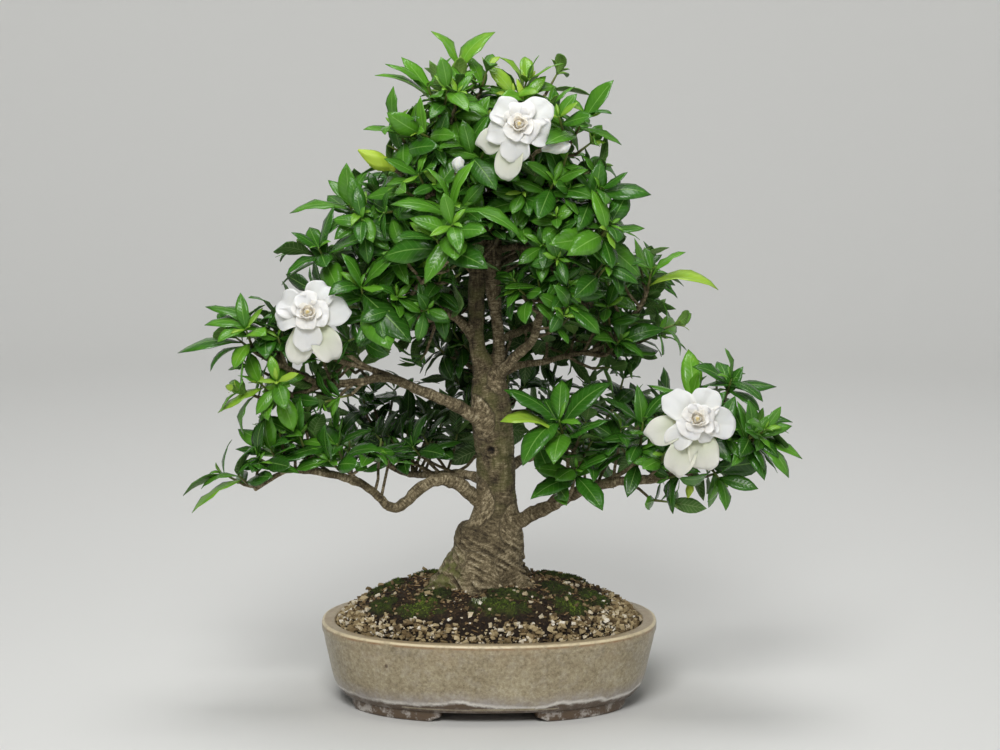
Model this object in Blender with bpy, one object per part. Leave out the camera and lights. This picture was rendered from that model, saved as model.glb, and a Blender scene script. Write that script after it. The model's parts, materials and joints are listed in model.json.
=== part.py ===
"""A gardenia bonsai in an oval glazed pot.

The tree's wood is one solid. Each leafy shoot is one green stem with its leaves, each bloom one solid of
petals round a small core. The pot stands on four feet, with drain screens and soil inside it.
Lengths in this file are millimetres, and each mesh is made in metres. +X is to the right, +Y to the back.
"""

import math
import random
from dataclasses import dataclass, replace

import bmesh
import bpy
from mathutils import Matrix, Vector
from mathutils.bvhtree import BVHTree

METRES = 0.001
GAP = 0.3
CUT_MARGIN = 5.0
SHARP_ANGLE = math.radians(40.0)
POT_SHARP_ANGLE = math.radians(35.0)
WOOD_SHARP_ANGLE = math.radians(50.0)
BLADE_SHARP_ANGLE = math.radians(60.0)

# Pot: an oval, flatter than an ellipse, given by its half axes at the rim
POT_HALF_LENGTH = 150.0
POT_HALF_WIDTH = 112.0
POT_SQUARENESS = 2.25
POT_SIDES = 32
POT_FLOOR_TOP = 16.0
POT_OUTSIDE = ((28.0, 8.0), (17.0, 11.0), (10.5, 22.0), (4.0, 50.0), (1.5, 64.0), (0.0, 66.5), (0.0, 73.0))
POT_RIM = ((1.2, 74.0), (10.5, 74.0))
POT_INSIDE = ((12.5, 71.5), (17.0, 32.0), (24.0, POT_FLOOR_TOP))
FOOT_INSETS = (20.0, 32.0)
FOOT_TOP = 11.5
FOOT_START = math.radians(22.0)
FOOT_END = math.radians(73.0)
FOOT_STATIONS = 5
FOOT_END_RISE = 5.0
DRAIN_RADIUS = 11.0
DRAIN_SIDES = 14
DRAIN_X = 55.0

# Drain screens
SCREEN_SIDE = 38.0
SCREEN_THICKNESS = 1.2
SCREEN_OPENING = 11.0
SCREEN_PITCH = 15.0
SCREEN_POCKET_MARGIN = 0.5

# Soil: a level skirt at the wall that rises to a mound round the trunk
SOIL_WALL_HEIGHT = 69.0
SOIL_SIDE_GAP = 0.36
TRUNK_HOLE_RADIUS = 22.0
TRUNK_HOLE_FLOOR = 76.0
COLLAR_RADIUS = 64.0
COLLAR_HEIGHT = 104.0
COLLAR_SLOPE = 0.11
SOIL_STEPS = ((0.3, 100.0), (0.58, 92.5), (0.8, 82.0), (0.93, 73.5), (1.0, SOIL_WALL_HEIGHT))
SOIL_LUMP = 1.3
SOIL_SEED = 11
SOIL_CUTTER_RISE = 0.36
SOIL_CUTTER_DEPTH = 60.0

# Wood
STUB_RADIUS = 21.5
STUB_SIDES = 10
STUB_TOP = 113.0
STUB_FOOT = TRUNK_HOLE_FLOOR + GAP
TRUNK_SIDES = 12
TRUNK_FLUTING = 0.07
TRUNK_FLUTES = 3.0
TRUNK_FLUTE_RISE = 21.0
TRUNK_FOOT_DEPTH = 8.0
TWIG_START_SHARE = 0.75
TWIG_START_LIMIT = 2.6
TWIG_END_RADIUS = 1.7
TWIG_SIDES = 3
TWIG_BACK_OFF = 0.6
TWIG_PULL = 0.38
ROOT_SIDES = 6
LEADER_SIDES = 8
ROOT_STEP = 20.0
TWIG_STEP = 20.0
BRANCH_STEP = 28.0

# The trunk and its left leader: (x, y, z, radius)
TRUNK = (
    (-8, -1, 100, 42), (-7, -1, 112, 37), (-1, 0, 128, 32), (3, 0, 145, 28), (6, 0, 163, 23), (7, 0, 183, 18.2),
    (7, 0, 204, 17.4), (6, 0, 225, 17.2), (3, 0, 244, 18), (1, 0, 266, 17.8), (0, 0, 284, 15.8), (-4, -1, 302, 10.5),
    (-9, -3, 316, 7.4), (-11, -4, 332, 7), (-11, -4, 350, 6.8), (-11, -4, 369, 7.4), (-10, -2, 389, 7.3),
    (-10, 0, 410, 7.2), (-10, 2, 432, 6.8), (-11, 3, 458, 6), (-14, 2, 482, 5), (-20, -1, 503, 3.8),
    (-28, -7, 520, 2),
)
# The right leader, which grows beside it
RIGHT_LEADER = (
    (5, 2, 284, 11), (8, 2, 302, 7.5), (9, 4, 318, 5.6), (8, 5, 334, 5.2), (6, 7, 350, 5.4), (4, 8, 369, 7),
    (4, 9, 389, 7), (5, 10, 410, 6.8), (6, 11, 432, 6.2), (8, 12, 455, 5.4), (13, 12, 478, 4.6), (19, 10, 500, 3.6),
    (25, 6, 520, 2),
)
# Surface roots: each runs from inside the trunk down to the soil
ROOTS = (
    ((-12, -10, 132, 13), (-32, -17, 116, 10), (-46, -21, 106, 7), (-58, -24, 98, 4)),
    ((-10, -2, 138, 13), (-28, -3, 122, 11), (-42, -4, 108, 8), (-58, -3, 97, 4)),
    ((6, -8, 138, 12), (20, -14, 120, 9.5), (31, -20, 107, 7), (44, -27, 97, 4)),
    ((-2, -10, 130, 12), (-8, -30, 114, 9), (-11, -42, 105, 6), (-14, -53, 97, 4)),
    ((2, 6, 138, 13), (18, 20, 120, 10), (31, 30, 106, 7.5), (43, 39, 97, 4)),
    ((-8, 8, 134, 12), (-21, 25, 117, 10), (-31, 37, 106, 7), (-39, 47, 97, 4)),
)


@dataclass(frozen=True)
class Branch:
    """A woody branch: its route from its parent outward, and its two radii."""

    name: str
    route: tuple
    start_radius: float
    end_radius: float
    sides: int = 5


BRANCHES = (
    Branch("low_left", ((2, 0, 172), (-17, -12, 189), (-30, -18, 200), (-47, -22, 203), (-63, -28, 194),
                        (-78, -33, 182), (-88, -35, 182), (-110, -40, 202), (-140, -46, 213), (-169, -53, 218),
                        (-182, -55, 215), (-205, -58, 201)), 6.6, 2.2, 6),
    Branch("back_left_low", ((3, 2, 196), (-22, 30, 199), (-52, 62, 193), (-84, 96, 190), (-108, 116, 206)), 5.0, 2.2),
    Branch("low_right", ((10, 0, 148), (31, -10, 166), (47, -17, 175), (64, -24, 185), (95, -40, 202),
                         (127, -52, 208), (160, -58, 214), (193, -58, 230), (212, -56, 239)), 7.2, 2.4, 6),
    Branch("back_right_low", ((8, 2, 203), (28, 30, 211), (58, 62, 216), (98, 96, 218), (138, 120, 224)), 5.0, 2.2),
    Branch("back_low", ((6, 6, 214), (10, 46, 228), (14, 86, 240), (13, 118, 248)), 4.6, 2.2),
    Branch("mid_left", ((2, 0, 240), (-14, -14, 259), (-30, -22, 270), (-46, -28, 278), (-66, -33, 287),
                        (-88, -39, 297), (-112, -42, 294), (-146, -47, 294), (-175, -50, 307), (-192, -50, 314)),
           6.2, 2.2, 6),
    Branch("mid_left_low", ((-138, -45, 293), (-161, -50, 286), (-180, -54, 280)), 2.6, 1.8, 4),
    Branch("mid_left_high", ((-84, -38, 297), (-104, -38, 305), (-128, -44, 312), (-146, -58, 324)), 3.2, 2.0, 4),
    Branch("back_mid", ((0, 4, 262), (4, 44, 281), (-4, 84, 298), (-14, 124, 314)), 4.4, 2.2),
    Branch("up_left", ((-10, -3, 322), (-24, -10, 342), (-36, -16, 350), (-48, -24, 347), (-61, -34, 350),
                       (-72, -46, 361)), 4.2, 2.8),
    Branch("up_left_front", ((-67, -40, 356), (-66, -60, 373), (-55, -76, 386), (-43, -86, 396), (-33, -95, 406)),
           2.6, 1.9, 4),
    Branch("up_left_side", ((-62, -35, 351), (-80, -40, 352), (-98, -54, 355)), 2.6, 1.9, 4),
    Branch("back_left_mid", ((-8, 0, 328), (-34, 40, 345), (-74, 80, 359), (-112, 106, 370)), 4.0, 2.0),
    Branch("back_right_mid", ((8, 5, 324), (42, 44, 334), (86, 78, 346), (126, 98, 358)), 4.0, 2.0),
    Branch("right_limb", ((4, 0, 284), (15, -14, 303), (25, -22, 315), (37, -29, 327), (43, -35, 345),
                          (48, -38, 359), (60, -42, 368), (83, -47, 378)), 5.4, 2.2),
    Branch("right_mid", ((4, 2, 290), (28, 8, 302), (47, 12, 304), (80, 19, 311), (98, 21, 311)), 3.6, 2.2),
    Branch("right_mid_up", ((88, 20, 311), (108, 19, 320), (121, 16, 337), (134, 10, 353)), 2.2, 1.7, 4),
    Branch("upper_left", ((-10, -1, 392), (-30, -8, 404), (-58, -16, 410), (-88, -23, 417), (-108, -26, 424)),
           3.8, 2.0),
    Branch("bud_branch", ((-10, 1, 424), (-21, -22, 441), (-38, -42, 453), (-55, -54, 463)), 3.2, 1.9, 4),
    Branch("crown_left", ((-11, 3, 462), (-14, -20, 484), (-24, -36, 502), (-36, -42, 516)), 3.2, 1.9, 4),
    Branch("crown_right_front", ((5, 10, 430), (26, -14, 442), (43, -32, 452), (55, -42, 468), (66, -44, 486)),
           3.6, 1.9, 4),
    Branch("right_upper", ((5, 9, 404), (24, -12, 409), (46, -30, 409), (70, -46, 414)), 3.6, 2.0),
    Branch("back_high_left", ((-10, 1, 396), (-22, 42, 411), (-46, 82, 426), (-70, 110, 438)), 3.8, 2.0),
    Branch("back_high_right", ((5, 9, 388), (26, 48, 398), (50, 86, 409), (74, 112, 420)), 3.8, 2.0),
    Branch("back_crown", ((-10, 3, 452), (-6, 38, 474), (2, 68, 490)), 3.4, 1.9),
)


@dataclass(frozen=True)
class Shoot:
    """A leafy shoot: a green stem from foot to top, with leaves in opposite pairs.

    tips are places that single leaves reach, and the other leaves follow the rule of the pairs. Those end
    above the shoot's floor, so that they don't hang over a branch that is bare underneath.
    """

    name: str
    parent: str
    foot: tuple
    top: tuple
    pairs: int = 3
    leaf: float = 42.0
    tone: str = "leaf"
    tips: tuple = ()
    floor: float = 0.0


SHOOTS = (
    Shoot("shoot_apex", "trunk", (-28, -8, 527), (-27, -12, 560), 3, 40, "young_leaf",
          ((-50, -16, 598), (6, -4, 597), (-24, -22, 576))),
    Shoot("shoot_apex_left", "crown_left", (-44, -42, 530), (-52, -48, 550), 3, 38, "leaf",
          ((-88, -50, 569), (-97, -62, 561), (-75, -38, 576))),
    Shoot("shoot_apex_right", "right_leader", (26, 4, 530), (33, 0, 553), 3, 36, "young_leaf",
          ((9, 2, 575), (32, 12, 576), (44, -8, 577), (65, -22, 570))),
    Shoot("shoot_crown_left", "crown_left", (-70, -50, 500), (-80, -60, 517), 3, 40, "leaf",
          ((-81, -66, 552), (-107, -64, 515), (-58, -82, 526))),
    Shoot("shoot_crown_right", "crown_right_front", (73, -46, 506), (83, -56, 525), 4, 40, "leaf",
          ((107, -60, 557), (105, -78, 529), (68, -50, 542), (48, -98, 504))),
    Shoot("shoot_crown_east", "right_upper", (85, -48, 449), (95, -60, 462), 3, 42, "leaf",
          ((140, -62, 459), (119, -70, 479), (96, -60, 490), (76, -92, 430))),
    Shoot("shoot_right_high", "right_upper", (94, -60, 422), (104, -72, 434), 3, 42, "leaf",
          ((134, -72, 431), (65, -84, 437), (105, -98, 399), (112, -80, 452))),
    Shoot("shoot_front", "up_left_front", (-31, -102, 425), (-31, -110, 448), 4, 46, "young_leaf",
          ((-51, -118, 485), (-11, -116, 492), (-82, -120, 455), (28, -132, 428), (-27, -160, 412))),
    Shoot("shoot_crown_west", "bud_branch", (-52, -66, 460), (-59, -78, 477), 3, 40, "leaf",
          ((-87, -90, 469), (-44, -100, 486), (-74, -108, 445))),
    Shoot("shoot_crown_heart", "crown_left", (-11, -58, 482), (-17, -70, 499), 3, 40, "leaf",
          ((-43, -84, 499), (-22, -78, 524), (7, -96, 465))),
    Shoot("shoot_crown_mid", "crown_right_front", (50, -54, 456), (56, -68, 470), 3, 38, "leaf",
          ((85, -84, 482), (42, -102, 441), (92, -80, 456))),
    Shoot("shoot_shoulder", "upper_left", (-116, -28, 432), (-121, -34, 448), 4, 40, "leaf",
          ((-123, -38, 485), (-104, -48, 481), (-140, -30, 470), (-173, -36, 441))),
    Shoot("shoot_left_outer", "upper_left", (-140, -36, 396), (-147, -46, 411), 4, 42, "leaf",
          ((-133, -50, 449), (-170, -54, 426), (-174, -62, 390), (-98, -78, 424))),
    Shoot("shoot_left_front", "up_left_side", (-106, -66, 362), (-109, -80, 381), 4, 46, "leaf",
          ((-125, -88, 411), (-72, -86, 414), (-83, -118, 332), (-65, -104, 336))),
    Shoot("shoot_far_left_high", "mid_left", (-188, -48, 326), (-195, -52, 344), 4, 40, "leaf",
          ((-246, -50, 361), (-245, -68, 347), (-173, -46, 368), (-190, -88, 320))),
    Shoot("shoot_far_left", "mid_left", (-207, -46, 323), (-220, -44, 333), 3, 42, "leaf",
          ((-272, -40, 319), (-241, -62, 306), (-238, -26, 352))),
    Shoot("shoot_left_hanging", "mid_left_low", (-190, -56, 287), (-198, -60, 295), 3, 40, "lime_leaf",
          ((-235, -66, 270), (-216, -74, 304), (-170, -82, 296))),
    Shoot("shoot_low_left_inner", "low_left", (-127, -46, 222), (-132, -54, 240), 4, 42, "leaf",
          ((-127, -64, 264), (-182, -66, 228), (-102, -48, 252), (-134, -90, 236)), 234),
    Shoot("shoot_low_left_mid", "low_left", (-158, -52, 226), (-164, -58, 247), 3, 42, "leaf",
          ((-201, -54, 265), (-163, -64, 285), (-136, -58, 264), (-150, -94, 234)), 242),
    Shoot("shoot_low_left_outer", "low_left", (-184, -54, 224), (-190, -60, 238), 3, 42, "leaf",
          ((-220, -64, 238), (-192, -66, 276), (-176, -20, 244)), 230),
    Shoot("shoot_low_left_tip", "low_left", (-210, -59, 206), (-218, -61, 214), 3, 42, "leaf",
          ((-251, -60, 202), (-258, -72, 183), (-200, -76, 243)), 208),
    Shoot("shoot_back_west", "back_left_low", (-123, 126, 221), (-131, 134, 237), 3, 42, "shaded_leaf",
          ((-168, 140, 226), (-130, 136, 276), (-94, 134, 250), (-144, 158, 206))),
    Shoot("shoot_back_west_inner", "back_left_low", (-72, 98, 206), (-76, 104, 224), 3, 42, "shaded_leaf",
          ((-112, 112, 232), (-40, 98, 240), (-78, 112, 262), (-64, 140, 202))),
    Shoot("shoot_right_front", "low_right", (66, -82, 246), (61, -94, 267), 4, 46, "leaf",
          ((13, -104, 296), (10, -120, 271), (106, -90, 300), (101, -118, 271), (55, -142, 238), (29, -126, 234))),
    Shoot("shoot_right_low", "low_right", (74, -62, 208), (76, -76, 222), 3, 44, "leaf",
          ((36, -98, 200), (98, -108, 192), (108, -90, 238))),
    Shoot("shoot_right_between", "low_right", (132, -58, 236), (134, -66, 261), 4, 40, "leaf",
          ((99, -64, 283), (129, -58, 294), (96, -80, 247), (162, -58, 288))),
    Shoot("shoot_above_bloom", "low_right", (176, -38, 262), (179, -42, 282), 3, 42, "leaf",
          ((184, -46, 305), (140, -42, 291), (176, -20, 320))),
    Shoot("shoot_far_right_high", "low_right", (206, -46, 278), (211, -54, 297), 4, 40, "leaf",
          ((205, -60, 326), (222, -60, 310), (251, -52, 291), (236, -86, 283))),
    Shoot("shoot_far_right", "low_right", (222, -60, 245), (231, -64, 255), 3, 42, "leaf",
          ((264, -66, 262), (272, -74, 231), (226, -82, 276))),
    Shoot("shoot_under_bloom", "low_right", (192, -58, 223), (200, -66, 213), 3, 42, "leaf",
          ((242, -58, 226), (234, -76, 205), (205, -88, 188))),
    Shoot("shoot_right_twig", "right_mid_up", (141, 6, 369), (144, 2, 386), 3, 38, "young_leaf",
          ((174, -2, 404), (129, 2, 416), (203, -8, 371), (122, -22, 394))),
    Shoot("shoot_right_mid", "right_mid", (108, 4, 314), (116, -3, 325), 3, 40, "leaf",
          ((116, 14, 353), (158, 8, 334), (137, -16, 311), (153, 36, 311)), 306),
    Shoot("shoot_limb_tip", "right_limb", (91, -50, 388), (100, -57, 400), 3, 38, "leaf",
          ((136, -62, 401), (93, -64, 434), (64, -80, 408), (113, -84, 374))),
    Shoot("shoot_limb_inner", "right_limb", (46, -44, 370), (43, -54, 384), 3, 36, "leaf",
          ((33, -60, 406), (70, -74, 392), (14, -80, 380))),
    Shoot("shoot_back_east", "back_right_low", (150, 124, 231), (160, 130, 246), 3, 42, "shaded_leaf",
          ((196, 132, 232), (164, 140, 282), (132, 130, 262), (150, 160, 232))),
    Shoot("shoot_back_low", "back_low", (12, 122, 253), (12, 130, 270), 3, 42, "shaded_leaf"),
    Shoot("shoot_back_mid", "back_mid", (-18, 128, 318), (-20, 136, 334), 3, 42, "shaded_leaf"),
    Shoot("shoot_behind_trunk", "back_mid", (-28, 60, 304), (-38, 66, 320), 3, 40, "shaded_leaf",
          ((-30, 66, 358), (-72, 76, 328))),
    Shoot("shoot_back_left", "back_left_mid", (-120, 112, 377), (-130, 118, 390), 3, 42, "shaded_leaf"),
    Shoot("shoot_back_left_inner", "back_left_mid", (-70, 92, 370), (-72, 100, 387), 3, 42, "shaded_leaf"),
    Shoot("shoot_back_right", "back_right_mid", (134, 103, 366), (144, 108, 378), 3, 42, "shaded_leaf"),
    Shoot("shoot_back_right_inner", "back_right_mid", (80, 88, 356), (82, 95, 373), 3, 42, "shaded_leaf"),
    Shoot("shoot_back_high_left", "back_high_left", (-76, 117, 446), (-84, 124, 460), 3, 40, "shaded_leaf"),
    Shoot("shoot_back_high_inner", "back_high_left", (-34, 84, 437), (-34, 92, 455), 3, 40, "shaded_leaf"),
    Shoot("shoot_back_high_right", "back_high_right", (81, 118, 428), (89, 125, 442), 3, 40, "shaded_leaf"),
    Shoot("shoot_crown_back", "back_crown", (6, 78, 500), (7, 86, 518), 3, 40, "leaf"),
    Shoot("shoot_crown_back_left", "back_crown", (-38, 50, 494), (-48, 56, 508), 3, 40, "leaf"),
    Shoot("shoot_crown_back_right", "right_leader", (40, 44, 484), (48, 52, 498), 3, 40, "leaf"),
)


@dataclass(frozen=True)
class Bloom:
    """A double bloom: its centre, and its petals as (right, up, back, half width, layer) of each tip."""

    name: str
    parent: str
    centre: tuple
    petals: tuple


BLOOM_FACING = Vector((0.0, -0.95, 0.31)).normalized()
BLOOM_BACK = 10.0
BLOOM_FRONT = 7.0
BLOOM_CORE_SIDES = 7
BLOOM_CORE_SHARES = (0.0, 0.26, 0.59, 0.84, 1.0)
BLOOM_CORE_RADII = (1.6, 4.6, 6.0, 5.2, 2.2)
PETAL_ROOT_BACK = 5.0
PETAL_ROOT_OUT = 1.5
PETAL_LAYER_STEP = 3.4
PETAL_THICKNESS = 1.5
PETAL_STATIONS = ((0.42, 0.74), (0.84, 0.96))
PETAL_ARCH = math.radians(50.0)
PETAL_FOLD = math.radians(12.0)
INNER_PETALS = 3
INNER_PETAL_HALF_WIDTH = 6.5
INNER_PETAL_REACH = 10.0
INNER_PETAL_ROOT_FRONT = 2.5
INNER_PETAL_TIP_FRONT = 10.0
INNER_PETAL_START = 0.5
BLOOMS = (
    Bloom("bloom_crown", "crown_right_front", (26, -96, 518),
          ((-19, 21, 7, 12, 1), (25, 21, 8, 12, 1), (26, -8, 3, 11, 2), (-27, -4, 4, 11, 2), (-5, -29, -3, 11, 2),
           (-13, -44, 1, 10, 0), (-34, -17, 12, 10, 0), (4, 22, 2, 10, 3))),
    Bloom("bloom_left", "mid_left_high", (-153, -96, 359),
          ((15, 27, 8, 11, 1), (35, 4, 5, 11, 0), (-26, 13, 6, 11, 1), (-28, -6, 2, 9, 2), (-1, -30, -4, 11, 2),
           (23, -39, -1, 11, 0), (-12, -42, 2, 10, 0), (-3, 20, 0, 9, 3))),
    Bloom("bloom_right", "low_right", (177, -112, 270),
          ((-25, 22, 7, 12, 1), (13, 26, 8, 12, 0), (33, -4, 5, 12, 1), (9, -42, -2, 12, 0), (-20, -47, 1, 11, 0),
           (-42, -14, 8, 11, 0), (-23, -21, -2, 10, 2), (14, -14, -3, 10, 2), (3, 15, -3, 9, 3))),
)


@dataclass(frozen=True)
class Bud:
    """A flower bud: base, tip and greatest radius, which lies at a given share of its length."""

    name: str
    parent: str
    base: tuple
    tip: tuple
    radius: float
    widest: float
    tone: str


BUD_SIDES = 6
BUD_TWIST = math.radians(70.0)
BUD_NECK_SHARE = 0.14
BUD_NECK = 0.4
BUD_LOWER = 0.86
BUD_UPPER = 0.66
BUD_TIP_RADIUS = 0.9
BUD_FURROW = 0.8
BUDS = (
    Bud("bud_green", "bud_branch", (-80, -64, 480), (-111, -72, 498), 7.6, 0.5, "bud_lime"),
    Bud("bud_white", "crown_right_front", (46, -72, 498), (70, -82, 503), 6.4, 0.75, "petal"),
    Bud("bud_pale", "crown_left", (-27, -78, 480), (-24, -92, 493), 5.4, 0.6, "petal"),
    Bud("bud_small", "low_right", (176, -72, 212), (173, -76, 197), 3.6, 0.55, "bud_lime"),
)

# Leaves
USUAL_LEAF_LENGTH = 40.0
LEAF_WIDTH_SHARE = 0.42
LEAF_RIB = 1.5
LEAF_ROOT_SHIFT = 0.25
LEAF_STATIONS = ((0.34, 0.86), (0.68, 0.88))
LEAF_FOLD = math.radians(20.0)
LEAF_ARCH = math.radians(38.0)
LEAF_CLEARANCE = 0.5
LEAF_LIGHT_WAY = Vector((0.0, -0.25, 0.75))
LEAF_FRONT_WAY = Vector((0.0, -1.0, 0.4))
LEAF_LOW_LIFT = 8.0
LEAF_LIFT_GAIN = 40.0
LEAF_LIFT_VARIES = 8.0
LEAF_LENGTH_START = 1.06
LEAF_LENGTH_LOSS = 0.2
LEAF_LENGTH_VARIES = (0.9, 1.08)
LEAF_SCALES = (1.0, 0.85)
PAIRS_START = 0.22
PAIRS_SPAN = 0.74
TIP_FALL = 0.14
STEM_FOOT_RADIUS = 1.7
STEM_TOP_RADIUS = 0.9
STEM_TOP_EXTRA = 2.0
STEM_SIDES = 3
LEAF_TURNS = (0, 14, -14, 28, -28, 42, -42)
LEAF_LIFTS = (0, 14, -14, 28)
TIP_SHIFTS = (0, -6, 6, -12, 12, -18, 18)

COLOURS = {
    "glaze": ((0.42, 0.40, 0.32), 0.35),
    "screen_plastic": ((0.02, 0.02, 0.02), 0.6),
    "soil": ((0.10, 0.07, 0.045), 0.95),
    "bark": ((0.20, 0.15, 0.10), 0.85),
    "leaf": ((0.05, 0.19, 0.03), 0.4),
    "shaded_leaf": ((0.03, 0.12, 0.025), 0.4),
    "young_leaf": ((0.12, 0.33, 0.04), 0.4),
    "lime_leaf": ((0.28, 0.42, 0.08), 0.4),
    "petal": ((0.88, 0.86, 0.78), 0.5),
    "bud_lime": ((0.55, 0.66, 0.15), 0.4),
}


def clear_scene():
    """Remove the objects that the scene starts with."""
    for thing in list(bpy.data.objects):
        bpy.data.objects.remove(thing, do_unlink=True)


def make_material(name):
    """Return the Principled material of that name."""
    material = bpy.data.materials.get(name)
    if material is None:
        colour, roughness = COLOURS[name]
        material = bpy.data.materials.new(name)
        material.use_nodes = True
        shader = material.node_tree.nodes["Principled BSDF"]
        shader.inputs["Base Color"].default_value = (*colour, 1.0)
        shader.inputs["Roughness"].default_value = roughness
        shader.inputs["Metallic"].default_value = 0.0
    return material


def make_object(name, points, faces, material, smooth=True):
    """Make a mesh object in metres from points in millimetres, with its faces turned outward."""
    bm = bmesh.new()
    corners = [bm.verts.new(Vector(point) * METRES) for point in points]
    for face in faces:
        bm.faces.new([corners[index] for index in face])
    bmesh.ops.recalc_face_normals(bm, faces=bm.faces)
    mesh = bpy.data.meshes.new(name)
    bm.to_mesh(mesh)
    bm.free()
    if smooth:
        mesh.shade_smooth()
        mesh.set_sharp_from_angle(angle=SHARP_ANGLE)
    thing =bpy.data.objects.new(name, mesh)
    mesh.materials.append(make_material(material))
    bpy.context.scene.collection.objects.link(thing)
    return thing


def apply_modifiers(thing):
    """Replace the object's mesh with the one its modifiers make."""
    depsgraph = bpy.context.evaluated_depsgraph_get()
    mesh = bpy.data.meshes.new_from_object(thing.evaluated_get(depsgraph))
    thing.modifiers.clear()
    thing.data = mesh


def boolean(thing, others, operation, solver="EXACT"):
    """Join others to the thing or cut them from it, then remove them."""
    group = bpy.data.collections.new(thing.name + "_others")
    bpy.context.scene.collection.children.link(group)
    for other in others:
        bpy.context.scene.collection.objects.unlink(other)
        group.objects.link(other)
    modifier = thing.modifiers.new("join", "BOOLEAN")
    modifier.operation = operation
    modifier.operand_type = "COLLECTION"
    modifier.collection = group
    modifier.solver = solver
    apply_modifiers(thing)
    for other in others:
        bpy.data.objects.remove(other, do_unlink=True)
    bpy.data.collections.remove(group)


def keep_largest_body(thing):
    """Drop loose scraps, so that the object is one body."""
    bm = bmesh.new()
    bm.from_mesh(thing.data)
    unseen = set(bm.verts)
    bodies = []
    while unseen:
        queue = [unseen.pop()]
        body = set(queue)
        while queue:
            for edge in queue.pop().link_edges:
                for corner in edge.verts:
                    if corner in unseen:
                        unseen.remove(corner)
                        body.add(corner)
                        queue.append(corner)
        bodies.append(body)
    bodies.sort(key=len, reverse=True)
    scraps = [corner for body in bodies[1:] for corner in body]
    bmesh.ops.delete(bm, geom=scraps, context="VERTS")
    bm.to_mesh(thing.data)
    bm.free()


def oval(inset, sides=POT_SIDES, squareness=POT_SQUARENESS):
    """Return the points (x, y) of the pot's oval, moved in by inset."""
    half_length = POT_HALF_LENGTH - inset
    half_width = POT_HALF_WIDTH - inset
    points = []
    for side in range(sides):
        x, y = oval_point(2.0 * math.pi * side / sides, half_length, half_width, squareness)
        points.append((x, y))
    return points


def oval_point(angle, half_length, half_width, squareness=POT_SQUARENESS):
    """Return the point (x, y) of a flattened ellipse at an angle."""
    cosine = math.cos(angle)
    sine = math.sin(angle)
    x = half_length * math.copysign(abs(cosine) ** (2.0 / squareness), cosine)
    y = half_width * math.copysign(abs(sine) ** (2.0 / squareness), sine)
    return x, y


def loft(rings, close_start=True, close_end=True):
    """Return the points and faces of a skin over rings of equal length."""
    count = len(rings[0])
    points = [point for ring in rings for point in ring]
    faces = []
    for level in range(len(rings) - 1):
        low = level * count
        high = low + count
        for side in range(count):
            after = (side + 1) % count
            faces.append((low + side, low + after, high + after, high + side))
    if close_start:
        faces.append(tuple(reversed(range(count))))
    if close_end:
        last = (len(rings) - 1) * count
        faces.append(tuple(range(last, last + count)))
    return points, faces


def smooth_route(points, step):
    """Return points about one step apart on a Catmull-Rom curve through the given ones.

    The points may carry more numbers than x, y and z, such as a radius, which are blended too.
    """
    places = [tuple(float(value) for value in point) for point in points]
    ghost_start = tuple(2.0 * a - b for a, b in zip(places[0], places[1]))
    ghost_end = tuple(2.0 * a - b for a, b in zip(places[-1], places[-2]))
    track = [ghost_start, *places, ghost_end]
    route = []
    for index in range(1, len(track) - 2):
        before, start, end, after = track[index - 1:index + 3]
        pieces = max(1, round(math.dist(start[:3], end[:3]) / step))
        for piece in range(pieces):
            t = piece / pieces
            route.append(tuple(
                0.5 * (2.0 * b + (c - a) * t + (2.0 * a - 5.0 * b + 4.0 * c - d) * t * t
                       + (3.0 * b - a - 3.0 * c + d) * t ** 3)
                for a, b, c, d in zip(before, start, end, after)))
    route.append(places[-1])
    return route


def tube(points, radii, sides, fluting=0.0, end_way=None):
    """Return the points and faces of a tube along a route, with its last end square to end_way."""
    centres = [Vector(point) for point in points]
    rings = []
    side_way = None
    for index, centre in enumerate(centres):
        behind = centres[max(index - 1, 0)]
        ahead = centres[min(index + 1, len(centres) - 1)]
        along = (ahead - behind).normalized()
        if end_way is not None and index == len(centres) - 1:
            along = end_way
        if side_way is None:
            start = Vector((0.0, 0.0, 1.0)) if abs(along.z) < 0.9 else Vector((1.0, 0.0, 0.0))
            side_way = along.cross(start).normalized()
        side_way = (side_way - along * side_way.dot(along)).normalized()
        up_way = along.cross(side_way)
        ring = []
        for side in range(sides):
            angle = 2.0 * math.pi * side / sides
            swell = 1.0 + fluting * math.sin(TRUNK_FLUTES * angle + centre.z / TRUNK_FLUTE_RISE)
            offset = side_way * math.cos(angle) + up_way * math.sin(angle)
            ring.append(centre + offset * radii[index] * swell)
        rings.append(ring)
    return loft(rings)


def branch_tube(name, line, sides):
    """Make one bark tube object from a line of places with radii."""
    points, faces = tube([place[:3] for place in line], [place[3] for place in line], sides)
    return make_object(name, points, faces, "bark")


def twig_tube(line, foot, heading):
    """Make one twig from a branch's line to a foot, where it ends square to its heading."""
    route, radii = twig_route(line, foot, heading)
    points, faces = tube(route, radii, TWIG_SIDES, end_way=heading)
    return make_object("twig", points, faces, "bark")


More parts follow.
